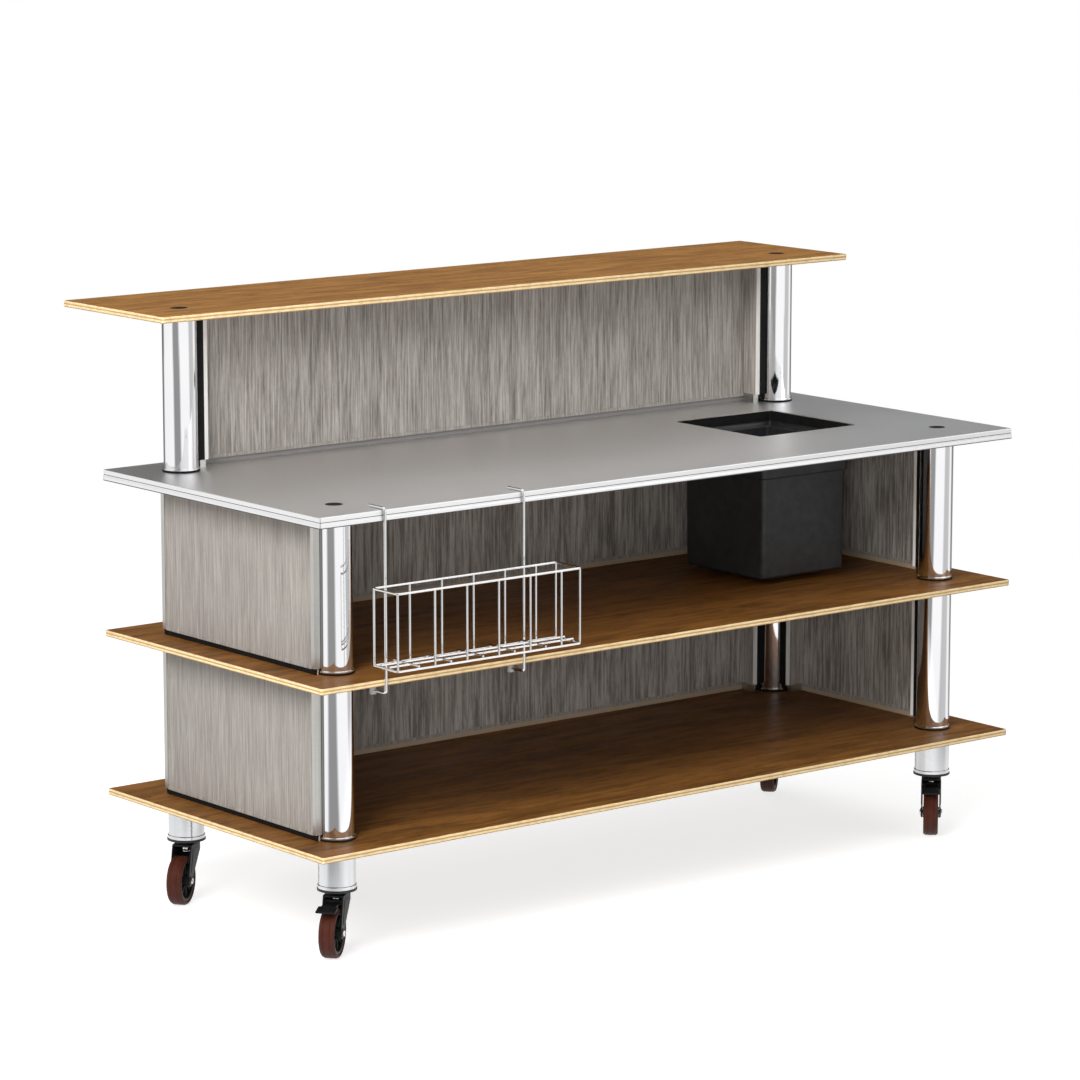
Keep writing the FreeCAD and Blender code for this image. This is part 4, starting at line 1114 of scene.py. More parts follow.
def make_row_recipe() -> Recipe:
    """Makes the tree that repeats a pattern at even steps between two ends.

    Returns:
        The recipe.
    """
    recipe = Recipe("pattern_in_row", {"Pattern": "Object", "Start": "Vector", "End": "Vector",
                                       "Count": "Int"})
    given = recipe.given
    line = recipe.graph.add("GeometryNodeMeshLine", {
        "Count": given["Count"], "Start Location": given["Start"], "Offset": given["End"]},
        mode="END_POINTS")
    recipe.repeat(line.outputs[0])
    return recipe


def make_ring_recipe() -> Recipe:
    """Makes the tree that repeats a pattern round the Z axis.

    Returns:
        The recipe.
    """
    recipe = Recipe("pattern_in_ring", {"Pattern": "Object", "Count": "Int"})
    graph, count = recipe.graph, recipe.given["Count"]
    line = graph.add("GeometryNodeMeshLine", {"Count": count, "Offset": ORIGIN})
    index = graph.add("GeometryNodeInputIndex").outputs[0]
    turn = graph.add("ShaderNodeCombineXYZ", {
        "Z": graph.product(index, graph.math("DIVIDE", FULL_TURN, count))})
    recipe.repeat(line.outputs[0], {"Rotation": turn.outputs[0]})
    return recipe


def make_wire_recipe() -> Recipe:
    """Makes the tree that bends a round wire along each path of edges.

    Returns:
        The recipe.
    """
    recipe = Recipe("bent_wire", {"Wire Radius": "Float", "Bend Radius": "Float",
                                  "Bend Steps": "Int", "Round Steps": "Int"})
    graph, given = recipe.graph, recipe.given
    path = graph.add("GeometryNodeMeshToCurve", {"Mesh": given["Geometry"]})
    bent = graph.add("GeometryNodeFilletCurve", {
        "Curve": path.outputs[0], "Radius": given["Bend Radius"], "Count": given["Bend Steps"]},
        mode="POLY")
    section = graph.add("GeometryNodeCurvePrimitiveCircle", {
        "Resolution": given["Round Steps"], "Radius": given["Wire Radius"]})
    swept = graph.add("GeometryNodeCurveToMesh", {
        "Curve": bent.outputs[0], "Profile Curve": section.outputs[0], "Fill Caps": True})
    recipe.close(swept.outputs[0])
    return recipe


AT_PLACES = make_place_recipe()
IN_ROW = make_row_recipe()
IN_RING = make_ring_recipe()
BENT_WIRE = make_wire_recipe()


def path_mesh(name: str, paths: Sequence[Sequence[Point]], loop: bool = False) -> Mesh:
    """Makes a mesh of edges along each path.

    Args:
        name: The mesh's name.
        paths: The points of each path. A path of one point gives that point.
        loop: Whether each path's end joins its start.

    Returns:
        The mesh.
    """
    points: list[Point] = []
    edges: list[tuple[int, int]] = []
    for path in paths:
        first = len(points)
        points += path
        edges += [(first + step, first + step + 1) for step in range(len(path) - 1)]
        if loop:
            edges.append((first + len(path) - 1, first))
    mesh = bpy.data.meshes.new(name)
    mesh.from_pydata(points, edges, [])
    return mesh


def copies_at(name: str, pattern: Mesh, places: Sequence[Point], finish: Finish) -> Mesh:
    """Repeats a pattern at several places."""
    return AT_PLACES.copies(name, finish, pattern,
                            path_mesh(name + "_places", [[place] for place in places]))


@dataclass
class Boards:
    """The bottom and middle shelf, the worktop with its skin, and the bar top."""

    feet: dict[str, float] = field(default_factory=lambda: {
        "bottom_shelf": 0.217, "middle_shelf": 0.547, "worktop_core": 0.868, "bar_top": 1.207})

    def build(self) -> None:
        """Dresses the plywood boards and the stainless skin."""
        for node, foot in self.feet.items():
            dressed_copy(f"{node}_board", node, board_finish(f"{node}_oak", foot))
        dressed_copy("worktop_sheet", "worktop_skin", STAINLESS)


@dataclass
class Posts:
    """Chrome tubes between the boards, with their collars, black foot rings that paint the contact
    shade, and caps, and what is inside.
    """

    across: float = 0.8
    lines: dict[Row, float] = field(default_factory=lambda: {
        Row.FRONT: -0.283975, Row.REAR: 0.238025})
    bays: tuple[Flat, ...] = ((0.230, 0.547), (0.560, 0.868), (0.890, 1.207))
    bays_of: dict[Row, int] = field(default_factory=lambda: {Row.FRONT: 2, Row.REAR: 3})
    tube_radius: float = 0.035
    tube_wall: float = 0.0015
    tube_chamfer: float = 0.0005
    collar_gap: float = 0.00005
    collar_round: float = 0.0015
    # The black foot ring, painted contact shade: outer radius, foot and head.
    shade_ring: tuple[float, float, float] = (0.038, 0.0, 0.0042)
    bead: tuple[float, float, float] = (0.0372, 0.0042, 0.008)
    cap_levels: dict[Row, float] = field(default_factory=lambda: {
        Row.FRONT: 0.890, Row.REAR: 1.220})
    cap_radius: float = 0.018
    cap_height: float = 0.003
    cap_rim: float = 0.002
    cap_dish: float = 0.0008
    cap_round: float = 0.0004
    cap_slope: float = 0.45

    def tube(self, foot: float, head: float) -> Mesh:
        """Makes one tube between two boards, with turned ends.

        Args:
            foot: The level of its lower end.
            head: The level of its upper end.

        Returns:
            The tube.
        """
        outer, inner = self.tube_radius, self.tube_radius - self.tube_wall
        turned = self.tube_chamfer
        return revolve("tube", [
            (outer, foot + turned), (outer, head - turned), (outer - turned, head),
            (inner, head), (inner, foot), (outer - turned, foot)], closed=True)

    def places(self, level: float, rows: Iterable[Row] = tuple(Row)) -> list[Point]:
        """Gives the points on the posts' axes at one level."""
        return [(side.value * self.across, self.lines[row], level)
                for row in rows for side in Side]

    def build_tubes(self) -> None:
        """Makes the tubes of each post as one piece."""
        for row in Row:
            for side, place in zip(Side, self.places(0.0, [row])):
                node = f"{row.value}_{side.name.lower()}_post"
                mesh = joined(f"{node}_tubes", [self.tube(*bay)
                                                for bay in self.bays[:self.bays_of[row]]])
                mesh.transform(Matrix.Translation(place))
                shaded_piece(f"{node}_tubes", mesh, ROOT, CHROME, node)

    def build_collars(self) -> None:
        """Makes a black ring and a chrome bead over it at the foot of every tube. The black ring
        is painted shade where the tube meets the board.
        """
        inner = self.tube_radius + self.collar_gap
        feet = [place for index, (foot, _) in enumerate(self.bays)
                for place in self.places(foot, [row for row in Row if self.bays_of[row] > index])]
        for name, (outer, low, high), finish, nodes in (
                ("tube_seals", self.shade_ring, GASKET, ()),
                ("tube_collars", self.bead, CHROME, ("post_collars",))):
            soft = min(self.collar_round, (outer - inner) * CORNER_SHARE)
            ring = revolve(name + "_ring", [(inner, low), (outer, low)]
                           + arc((outer - soft, high - soft), soft, 0, 90)
                           + [(inner, high)], closed=True)
            shaded_piece(name, copies_at(name, ring, feet, finish), ROOT, finish, *nodes)

    def build_caps(self) -> None:
        """Makes the flush caps: a rim round a dark dish."""
        outer, rim, soft = self.cap_radius, self.cap_radius - self.cap_rim, self.cap_round
        foot, dish = -self.cap_height, -self.cap_dish
        ring = revolve("cap_rim", [(rim, foot), (outer, foot)]
                       + arc((outer - soft, -soft), soft, 0, 90)
                       + arc((rim + soft, -soft), soft, 90, 180), closed=True)
        plate = revolve("cap_dish", [(0.0, foot), (rim, foot), (rim, dish + soft),
                                     (rim - soft, dish), (rim * self.cap_slope, dish - soft / 2),
                                     (0.0, dish - soft / 2)])
        tops = [place for row, level in self.cap_levels.items()
                for place in self.places(level, [row])]
        for name, pattern, finish in (("cap_rims", ring, CAP_RIM),
                                      ("cap_dishes", plate, CAP_DISH)):
            shaded_piece(name, copies_at(name, pattern, tops, finish), ROOT, finish, "post_caps")

    def build(self) -> None:
        """Makes the posts and dresses the clamping parts inside them."""
        self.build_tubes()
        self.build_collars()
        self.build_caps()
        dressed_copy("clamp_rods", "tie_rods", ZINC)
        dressed_copy("clamp_nuts", "tie_rod_nuts", ZINC)
        dressed_copy("tube_spigots", "post_spigots", TURNED_ALUMINIUM)


@dataclass
class Feet:
    """The sleeves under the bottom shelf, with their rings and sockets."""

    posts: Posts
    foot: float = 0.132
    head: float = 0.217
    radius: float = 0.037
    wall: float = 0.002
    bead_radius: float = 0.0385
    bead_height: float = 0.008
    bead_round: float = 0.0014

    def bead(self, low: float, high: float) -> list[Flat]:
        """Gives the outline of a bead between two levels."""
        soft, line = self.bead_round, self.bead_radius - self.bead_round
        return arc((line, low + soft), soft, -90, 0) + arc((line, high - soft), soft, 0, 90)

    def build(self) -> None:
        """Makes the sleeves and dresses the rings, sockets and caster heads."""
        inner, soft = self.radius - self.wall, self.bead_round
        low, high = self.foot + self.bead_height, self.head - self.bead_height
        sleeve = revolve("sleeve", [(inner, self.foot)] + self.bead(self.foot, low)
                         + [(self.radius, low + soft), (self.radius, high - soft)]
                         + self.bead(high, self.head) + [(inner, self.head)], closed=True)
        mesh = copies_at("chrome_sleeves", sleeve, self.posts.places(0.0), SLEEVE)
        shaded_piece("chrome_sleeves", mesh, ROOT, SLEEVE, "foot_sleeves")
        dressed_copy("black_rings", "foot_rings", RING_BLACK)
        dressed_copy("rod_sockets", "foot_sockets", TURNED_ALUMINIUM)
        dressed_copy("swivel_heads", "caster_heads", BOLT)


@dataclass
class Caster:
    """One swivel caster in its own frame: it trails along X under a post's axis.

    Its outlines are points in X and Z. Those of turned parts (boss, barrel, and the tyre's side
    and groove) are radius and height about their own axis.
    """

    name: str
    place: Flat
    turn: float
    braked: bool
    trail: float = 0.038
    axle_level: float = 0.050
    crown: tuple[float, float, float, float] = (-0.024, 0.030, 0.1177, 0.1217)
    crown_edge: float = 0.0012
    corner_cut: float = 0.002
    skirt_foot: float = 0.1037
    wall_foot: tuple[Flat, ...] = ((-0.0065, 0.0850), (-0.0045, 0.0868))
    wall_thickness: float = 0.0025
    wall_bend: float = 0.1050
    gap_half: float = 0.018
    half_width: float = 0.021
    leg_front: tuple[Flat, ...] = ((0.0375, 0.094), (0.0445, 0.070))
    leg_back: tuple[Flat, ...] = ((0.0105, 0.0675), (-0.0065, 0.0850))
    leg_edge: float = 0.0007
    pressing: tuple[Flat, ...] = ((-0.006, 0.112), (0.020, 0.112), (0.0345, 0.066),
                                  (0.0295, 0.066), (0.0165, 0.078))
    pressing_depth: float = 0.0007
    fine_edge: float = 0.0005
    boss_radius: float = 0.012
    boss_outline: tuple[Flat, ...] = ((0.004, 0.0), (0.0102, 0.0), (0.0102, 0.0006),
                                      (0.0096, 0.001), (0.004, 0.001))
    head_radius: float = 0.007
    head_height: float = 0.004
    nut_rim: float = 0.0012
    nut_angles: tuple[int, ...] = (20, 40, 60, 75)
    bolt_steps: tuple[Flat, ...] = ((1.0, 0.0), (1.0, 0.0032), (0.88, 0.004), (0.45, 0.004),
                                    (0.42, 0.0025))
    axle_radius: float = 0.004
    axle_gap: float = 0.00005
    hub_radius: float = 0.012
    hub_half: float = 0.0177
    hub_step: float = 0.008
    web_half: float = 0.004
    web_round: float = 0.003
    edge_cut: float = 0.001
    rim_inner: float = 0.036
    rim_outer: float = 0.042
    rim_half: float = 0.014
    rib_count: int = 8
    rib_half: float = 0.0012
    rib_height: float = 0.0105
    rib_root: float = 0.0005
    rib_edge: float = 0.0006
    tyre_radius: float = 0.050
    tyre_half: float = 0.016
    tyre_side: tuple[Flat, ...] = ((0.044, 0.0157), (0.0446, 0.016))
    shoulder: Flat = (0.005, 0.0085)
    shoulder_angles: tuple[int, ...] = (85, 75, 62, 50, 38, 26, 12)
    groove: tuple[Flat, ...] = ((0.0498, 0.0076), (0.0491, 0.0072), (0.0491, 0.0064),
                                (0.0498, 0.0060), (0.04995, 0.004))
    pivot: Flat = (0.024, 0.1077)
    barrel: tuple[Flat, ...] = ((0.0, -0.0177), (0.0045, -0.0177), (0.005, -0.0172),
                                (0.005, 0.0172), (0.0045, 0.0177), (0.0, 0.0177))
    pin_radius: float = 0.003
    arm: tuple[Flat, ...] = ((0.024, 0.1057), (0.0665, 0.1057), (0.0665, 0.1097),
                             (0.024, 0.1097))
    arm_half: float = 0.015
    arm_edge: float = 0.0012
    plate: tuple[Flat, ...] = ((0.066, 0.1057), (0.090, 0.1007), (0.090, 0.1047),
                               (0.066, 0.1097))
    plate_half: float = 0.020
    plate_edge: float = 0.0014
    shoe: tuple[Point, Point] = ((0.032, -0.011, 0.1005), (0.044, 0.011, 0.1060))
    shoe_edge: float = 0.001
    grip_half: Point = (0.0007, 0.0165, 0.0006)
    grip_edge: float = 0.0003
    grip_line: tuple[Point, Point] = ((0.0705, 0.0, 0.10880), (0.0860, 0.0, 0.10555))
    grip_count: int = 5

    def frame(self) -> Matrix:
        """Gives the caster's place and turn in the model's frame."""
        return (Matrix.Translation((*self.place, 0.0))
                @ Matrix.Rotation(math.radians(self.turn), 4, "Z"))

    @staticmethod
    def laid(x: float, y: float, z: float, way: int = 1) -> Matrix:
        """Gives the move that lays a part turned about Z along Y, at a point."""
        return Matrix.Translation((x, y, z)) @ Matrix.Rotation(way * QUARTER_TURN, 4, "X")

    def fork_meshes(self) -> list[Mesh]:
        """Makes the fork: crown, back wall, and legs with a pressed rib and a boss ring.

        Returns:
            Its parts.
        """
        back, front, under, top = self.crown
        half, cut, inside = self.half_width, self.corner_cut, back + self.wall_thickness
        leg = [(back + cut, top), (front - cut, top), (front, top - cut), *self.leg_front]
        leg += arc((self.trail, self.axle_level), self.boss_radius, 8, -188, 18)
        leg += [*self.leg_back, (back, self.skirt_foot), (back, top - cut)]
        parts = [block("crown", (back, -half, under), (front, half, top), self.crown_edge),
                 cut_plate("back_wall", [(back, top), (back, self.skirt_foot), *self.wall_foot,
                                         (inside, self.wall_bend), (inside, top)],
                           -half, half, self.fine_edge)]
        for side in Side:
            inner, outer = side.value * self.gap_half, side.value * half
            proud = outer + side.value * self.pressing_depth
            parts.append(cut_plate("leg", leg, *sorted((inner, outer)), self.leg_edge))
            parts.append(cut_plate("rib", self.pressing, *sorted((outer, proud)),
                                   self.fine_edge))
            washer = revolve("boss", self.boss_outline, SMALL_SEGMENTS, closed=True)
            washer.transform(self.laid(self.trail, outer, self.axle_level, -side.value))
            parts.append(washer)
        return parts

    def axle_meshes(self) -> list[Mesh]:
        """Makes the axle: pin, hexagon head on one side and a domed nut on the other.

        Returns:
            Its parts.
        """
        face, head, rim = self.half_width, self.head_radius, self.nut_rim
        pin = revolve("pin", [(0.0, -face), (self.axle_radius, -face), (self.axle_radius, face),
                              (0.0, face)], SMALL_SEGMENTS)
        rise = self.head_height - rim
        dome = [(head * math.cos(math.radians(angle)),
                 face + rim + rise * math.sin(math.radians(angle))) for angle in self.nut_angles]
        nut = revolve("dome", [(0.0, face), (head, face), (head, face + rim), *dome,
                               (0.0, face + self.head_height)], SMALL_SEGMENTS)
        rings = [[(head * share * math.cos(FULL_TURN * step / 6),
                   head * share * math.sin(FULL_TURN * step / 6), -face - depth)
                  for step in range(6)] for share, depth in self.bolt_steps]
        return [pin, nut, loft("hexagon", rings)]

    def wheel_meshes(self) -> list[Mesh]:
        """Makes the wheel core: hub, web and rim, with ribs on both faces.

        Returns:
            Its parts.
        """
        hub, rim, soft, cut = self.hub_radius, self.rim_inner, self.web_round, self.edge_cut
        half = [(self.axle_radius + self.axle_gap, self.hub_half), (hub - cut, self.hub_half),
                (hub, self.hub_half - cut), (hub, self.hub_step)]
        half += arc((hub + soft, self.web_half + soft), soft, 180, 270)
        half += arc((rim - soft, self.web_half + soft), soft, 270, 360)
        half += [(rim, self.rim_half - cut), (rim + cut, self.rim_half),
                 (self.rim_outer, self.rim_half)]
        parts = [revolve("core", mirrored(half), closed=True)]
        root = self.rib_root
        for side in Side:
            rib = block("rib", (hub - root, -self.rib_half, self.web_half - root),
                        (rim + root, self.rib_half, self.rib_height), self.rib_edge)
            if side is Side.LEFT:
                rib.transform(Matrix.Scale(-1.0, 4, UPRIGHT))
                rib.flip_normals()
            parts.append(IN_RING.copies("ribs", WHEEL_GREY, rib, Count=self.rib_count))
        return parts

    def tyre_meshes(self) -> list[Mesh]:
        """Makes the tyre: a crowned tread with two grooves and round shoulders.

        Returns:
            The tyre alone.
        """
        (drop, run), line = self.shoulder, self.tyre_half
        half = [(self.rim_outer, self.rim_half), *self.tyre_side]
        half += [(self.tyre_radius - drop + drop * math.cos(math.radians(angle)),
                  line - run + run * math.sin(math.radians(angle)))
                 for angle in self.shoulder_angles]
        half += self.groove
        outline = [(self.rim_outer, 0.0), *half, (self.tyre_radius, 0.0)]
        outline += [(radius, -height) for radius, height in reversed(half)]
        return [revolve("tyre", outline, closed=True)]

    def pedal_meshes(self) -> list[Mesh]:
        """Makes the brake pedal: barrel, pins, arm, ribbed foot plate and shoe.

        Returns:
            Its parts.
        """
        half, pin = self.half_width, self.pin_radius
        turned = [revolve("barrel", self.barrel, SMALL_SEGMENTS),
                  revolve("pins", [(0.0, -half), (pin, -half), (pin, half), (0.0, half)],
                          SMALL_SEGMENTS)]
        for part in turned:
            part.transform(self.laid(self.pivot[0], 0.0, self.pivot[1]))
        grip = block("grip", [-size for size in self.grip_half], self.grip_half, self.grip_edge)
        start, end = self.grip_line
        return [*turned,
                cut_plate("arm", self.arm, -self.arm_half, self.arm_half, self.arm_edge),
                cut_plate("plate", self.plate, -self.plate_half, self.plate_half,
                          self.plate_edge),
                block("shoe", *self.shoe, self.shoe_edge),
                IN_ROW.copies("grips", FORK_BLACK, grip, Start=start, End=end,
                              Count=self.grip_count)]

    def build(self) -> None:
        """Makes the caster's pieces, each on its own body."""
        own = self.frame()
        wheel = own @ self.laid(self.trail, 0.0, self.axle_level)
        rows = [("fork_pressing", self.fork_meshes(), own, "swivel", FORK_BLACK, "fork"),
                ("axle_bolt", self.axle_meshes(), wheel, "swivel", BOLT, "axle"),
                ("wheel_core", self.wheel_meshes(), wheel, "wheel", WHEEL_GREY, "wheel"),
                ("wheel_tyre", self.tyre_meshes(), wheel, "wheel", TYRE, "tyre")]
        if self.braked:
            rows.append(("pedal", self.pedal_meshes(), own, "pedal", FORK_BLACK, "brake_pedal"))
        for part, meshes, place, body, finish, node in rows:
            for mesh in meshes:
                if not mesh.materials:
                    mesh.materials.append(finish.material())
            mesh = joined(f"{self.name}_{part}", meshes)
            mesh.transform(place)
            shaded_piece(f"{self.name}_{part}", mesh, f"{self.name}_{body}", finish,
                         f"{self.name}_{node}")


@dataclass
class Casters:
    """The four casters, with the turn at which each stands."""

    posts: Posts
    turns: dict[tuple[Row, Side], float] = field(default_factory=lambda: {
        (Row.FRONT, Side.LEFT): 219.0, (Row.FRONT, Side.RIGHT): 226.0,
        (Row.REAR, Side.LEFT): 217.0, (Row.REAR, Side.RIGHT): 221.0})

    def build(self) -> None:
        """Makes each caster under its post."""
        for (row, side), turn in self.turns.items():
            place = (side.value * self.posts.across, self.posts.lines[row])
            Caster(f"{row.value}_{side.name.lower()}", place, turn, row is Row.FRONT).build()


@dataclass
class Bay:
    """A panel's place: its corners, the axis it runs along, its face and the boards' levels."""

    low: list[float]
    high: list[float]
    along: int
    outward: bool
    foot: float
    head: float

    @property
    def across(self) -> int:
        """Gives the axis that the panel faces along."""
        return 1 - self.along


@dataclass
class Panels:
    """The laminate panels with their trims, rails, clip rails, gaskets and feet."""

    finishes: dict[str, Finish] = field(default_factory=lambda: {
        "left_lower": END_PANEL, "left_middle": END_PANEL, "right_lower": PANEL,
        "right_middle": PANEL, "back_lower": PANEL, "back_middle": PANEL,
        "back_upper": UPPER_PANEL})
    board_edge: float = 0.0006
    trim_edge: float = 0.0004
    clip_edge: float = 0.0005
    end_start: float = 0.82
    facing: float = 0.9
    levels: dict[str, Flat] = field(default_factory=lambda: {
        "lower": (0.230, 0.547), "middle": (0.560, 0.868), "upper": (0.890, 1.207)})
    # Gap strips, whose black outer half paints the shade in the gap: clearance to the boards, and
    # inset from the panel's faces.
    strip_clearance: float = 0.0002
    strip_inset: float = 0.0025
    clip_reach: tuple[float, float, float] = (0.048, 0.053, 0.062)
    clip_depth: float = 0.044
    clip_lip: float = 0.004
    clip_ends: Flat = (0.018, 0.009)

    def build(self) -> None:
        """Makes the panels, then their fittings."""
        for name, finish in self.finishes.items():
            mesh = block(f"{name}_board", *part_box(f"{name}_panel"), self.board_edge)
            shaded_piece(f"{name}_board", mesh, ROOT, finish, f"{name}_panel")
        trims = dressed_copy("side_trims", "panel_side_trims", TRIM, self.trim_edge)
        # The trims' faces towards the post get painted shade.
        tint(trims, CLIP_SHADE, self.faces_post)
        for name, node, finish in (("cross_rails", "panel_rails", RAIL),
                                   ("edge_gaskets", "panel_gaskets", GASKET),
                                   ("panel_pads", "panel_feet", TRIM)):
            dressed_copy(name, node, finish, self.trim_edge)
        self.build_clips()
        self.build_gap_strips()

    def faces_post(self, middle: Vector, way: Vector) -> bool:
        """Tells whether a trim's face looks in, towards the post beside it, where it gets painted
        shade.

        Args:
            middle: The face's middle.
            way: Its direction.

        Returns:
            Whether it does.
        """
        if abs(middle.x) > self.end_start:
            return way.x * middle.x < -self.facing * abs(middle.x)
        return way.y < -self.facing

    def places(self) -> dict[str, Bay]:
        """Gives every panel's place.

        Returns:
            The places by the panels' names.
        """
        found = {}
        for name in self.finishes:
            low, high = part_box(f"{name}_panel")
            along = 0 if name.startswith("back") else 1
            found[name] = Bay(list(low), list(high), along, low[1 - along] > 0,
                              *self.levels[name.split("_")[1]])
        return found

    def build_clips(self) -> None:
        """Makes the clip rails: grey, with a pale inner lip that is partly a painted highlight,
        and black painted shade towards the post.
        """
        near, split, far = self.clip_reach
        depth, lip = self.clip_depth, self.clip_depth - self.clip_lip
        for title, finish, start, end, shallow, deep in (
                ("clip_rails", CLIP_PALE_HIGHLIGHT, split, far, lip, depth),
                ("clip_webs", RAIL, split, far, 0.0, lip),
                ("clip_backs", CLIP_SHADE, near, split, 0.0, depth)):
            parts = []
            for bay in self.places().values():
                low, high, along, across = bay.low, bay.high, bay.along, bay.across
                face, inward = (low[across], -1) if bay.outward else (high[across], 1)
                first, last = low[:], high[:]
                first[2], last[2] = bay.foot + self.clip_ends[0], bay.head - self.clip_ends[1]
                first[across], last[across] = sorted((face + inward * shallow,
                                                      face + inward * deep))
                for ends in ((low[along] + start, low[along] + end),
                             (high[along] - end, high[along] - start)):
                    first[along], last[along] = ends
                    parts.append(block("clip", first, last, self.clip_edge))
            shaded_piece(title, joined(title, parts), ROOT, finish, "panel_clip_rails")

    def build_gap_strips(self) -> None:
        """Makes the strips that close the gaps under and over each panel.

        Their outer half is black: painted shade in the gap. Their inner half is a cream rail, a
        painted reflection of the plywood, and a grey one over the worktop.
        """
        strips: dict[str, list[Mesh]] = {"panel_seals": [], "pale_rails": [], "grey_rails": []}
        for name, bay in self.places().items():
            low, high, across = bay.low, bay.high, bay.across
            inner = "grey_rails" if name.endswith("upper") else "pale_rails"
            edges = (low[across] + self.strip_inset, (low[across] + high[across]) / 2,
                     high[across] - self.strip_inset)
            order = (inner, "panel_seals") if bay.outward else ("panel_seals", inner)
            for title, start, end in zip(order, edges, edges[1:]):
                first, last = low[:], high[:]
                first[across], last[across] = start, end
                for under, over in ((bay.foot, low[2]), (high[2], bay.head)):
                    first[2], last[2] = under + self.strip_clearance, over - self.strip_clearance
                    strips[title].append(block("strip", first, last, self.trim_edge))
        # Black painted shade, cream painted reflection of the plywood, and grey.
        for (title, parts), finish in zip(strips.items(), (GASKET, RAIL_WOOD_REFLECTION, RAIL_GREY)):
            shaded_piece(title, joined(title, parts), ROOT, finish)


@dataclass
class IceBin:
    """The lift-out ice bin, and the steel frame that carries it under the worktop."""

    centre: Flat = (0.550, -0.011975)
    foot: float = 0.576
    band_foot: float = 0.7943
    seat: float = 0.8543
    rim: float = 0.8583
    foot_half: Flat = (0.1177, 0.1257)
    body_half: Flat = (0.120, 0.128)
    band_half: Flat = (0.124, 0.132)
    lip_half: Flat = (0.136, 0.138)
    lip_round: float = 0.0012
    wall: float = 0.005
    corner: float = 0.010
    least_corner: float = 0.004
    floor_round: float = 0.006
    band_drop: float = 0.003
    smooth: float = math.radians(50)
    # The black strip inside the cut-out, which paints the shade on its wall.
    shade_lining_half: Flat = (0.1379, 0.1399)
    shade_lining_corner: float = 0.0059
    shade_lining_wall: float = 0.0007
    shade_lining_levels: Flat = (0.8683, 0.8887)

    def ring(self, half: Flat, grow: float, radius: float, level: float) -> list[Point]:
        """Gives one level of the bin: a rounded rectangle, grown a little on all sides."""
        size = (half[0] + grow, half[1] + grow)
        return [(x, y, level) for x, y in rounded_rectangle(self.centre, size, radius)]

    def shell(self, inset: float) -> list[list[Point]]:
        """Gives the rings of the outer or inner face, from the floor up to the band.

        Args:
            inset: How far the face lies inside and above the outer one.

        Returns:
            The rings.
        """
        soft, corner = self.floor_round, self.corner - inset * CORNER_SHARE
        rings = [self.ring(self.foot_half, shift - soft - inset,
                           max(corner - soft + shift, self.least_corner),
                           self.foot + inset + rise)
                 for shift, rise in arc((0.0, soft), soft, -90, 0)]
        step = self.band_foot - (self.band_drop if inset else 0.0)
        for half, grow, rise in ((self.body_half, -0.0002, -0.002),
                                 (self.body_half, 0.0006, -0.0004),
                                 (self.band_half, -0.001, 0.0004), (self.band_half, 0.0, 0.0018)):
            rings.append(self.ring(half, grow - inset, corner, step + rise))
        return rings

    def build_shade_lining(self) -> None:
        """Makes the thin black strip inside the cut-out, over the board's edge: painted shade on
        the cut-out's wall.
        """
        low, high = self.shade_lining_levels
        rings = [self.ring(self.shade_lining_half, -grow, self.shade_lining_corner, level)
                 for grow, level in ((0.0, low), (0.0, high), (self.shade_lining_wall, high),
                                     (self.shade_lining_wall, low))]
        mesh = loft("cutout_lining", rings, ring_shaped=True)
        shaded_piece("cutout_lining", mesh, ROOT, GASKET)

    def build(self) -> None:
        """Makes the bin, and dresses the frame and its screws."""
        band, lip, soft = self.band_half, self.lip_half, self.lip_round
        wall, inner = -self.wall, self.corner - self.wall * CORNER_SHARE
        rings = self.shell(0.0) + [self.ring(*row) for row in (
            (band, 0.0, self.corner, self.seat - 0.001), (band, 0.001, self.corner, self.seat),
            (lip, -soft, self.corner, self.seat), (lip, 0.0, self.corner, self.seat + soft),
            (lip, 0.0, self.corner, self.rim - soft), (lip, -soft, self.corner, self.rim),
            (band, wall + 0.002, inner, self.rim),
            (band, wall + 0.0006, inner, self.rim - 0.0006),
            (band, wall, inner, self.rim - 0.002))]
        mesh = loft("ice_bin_moulding", rings + self.shell(self.wall)[::-1])
        shaded_piece("ice_bin_moulding", mesh, "ice_bin", BIN, "ice_bin", angle=self.smooth)
        self.build_shade_lining()
        dressed_copy("bin_hanging_frame", "bin_frame", POWDER)
        dressed_copy("frame_screws", "bin_frame_screws", ZINC)


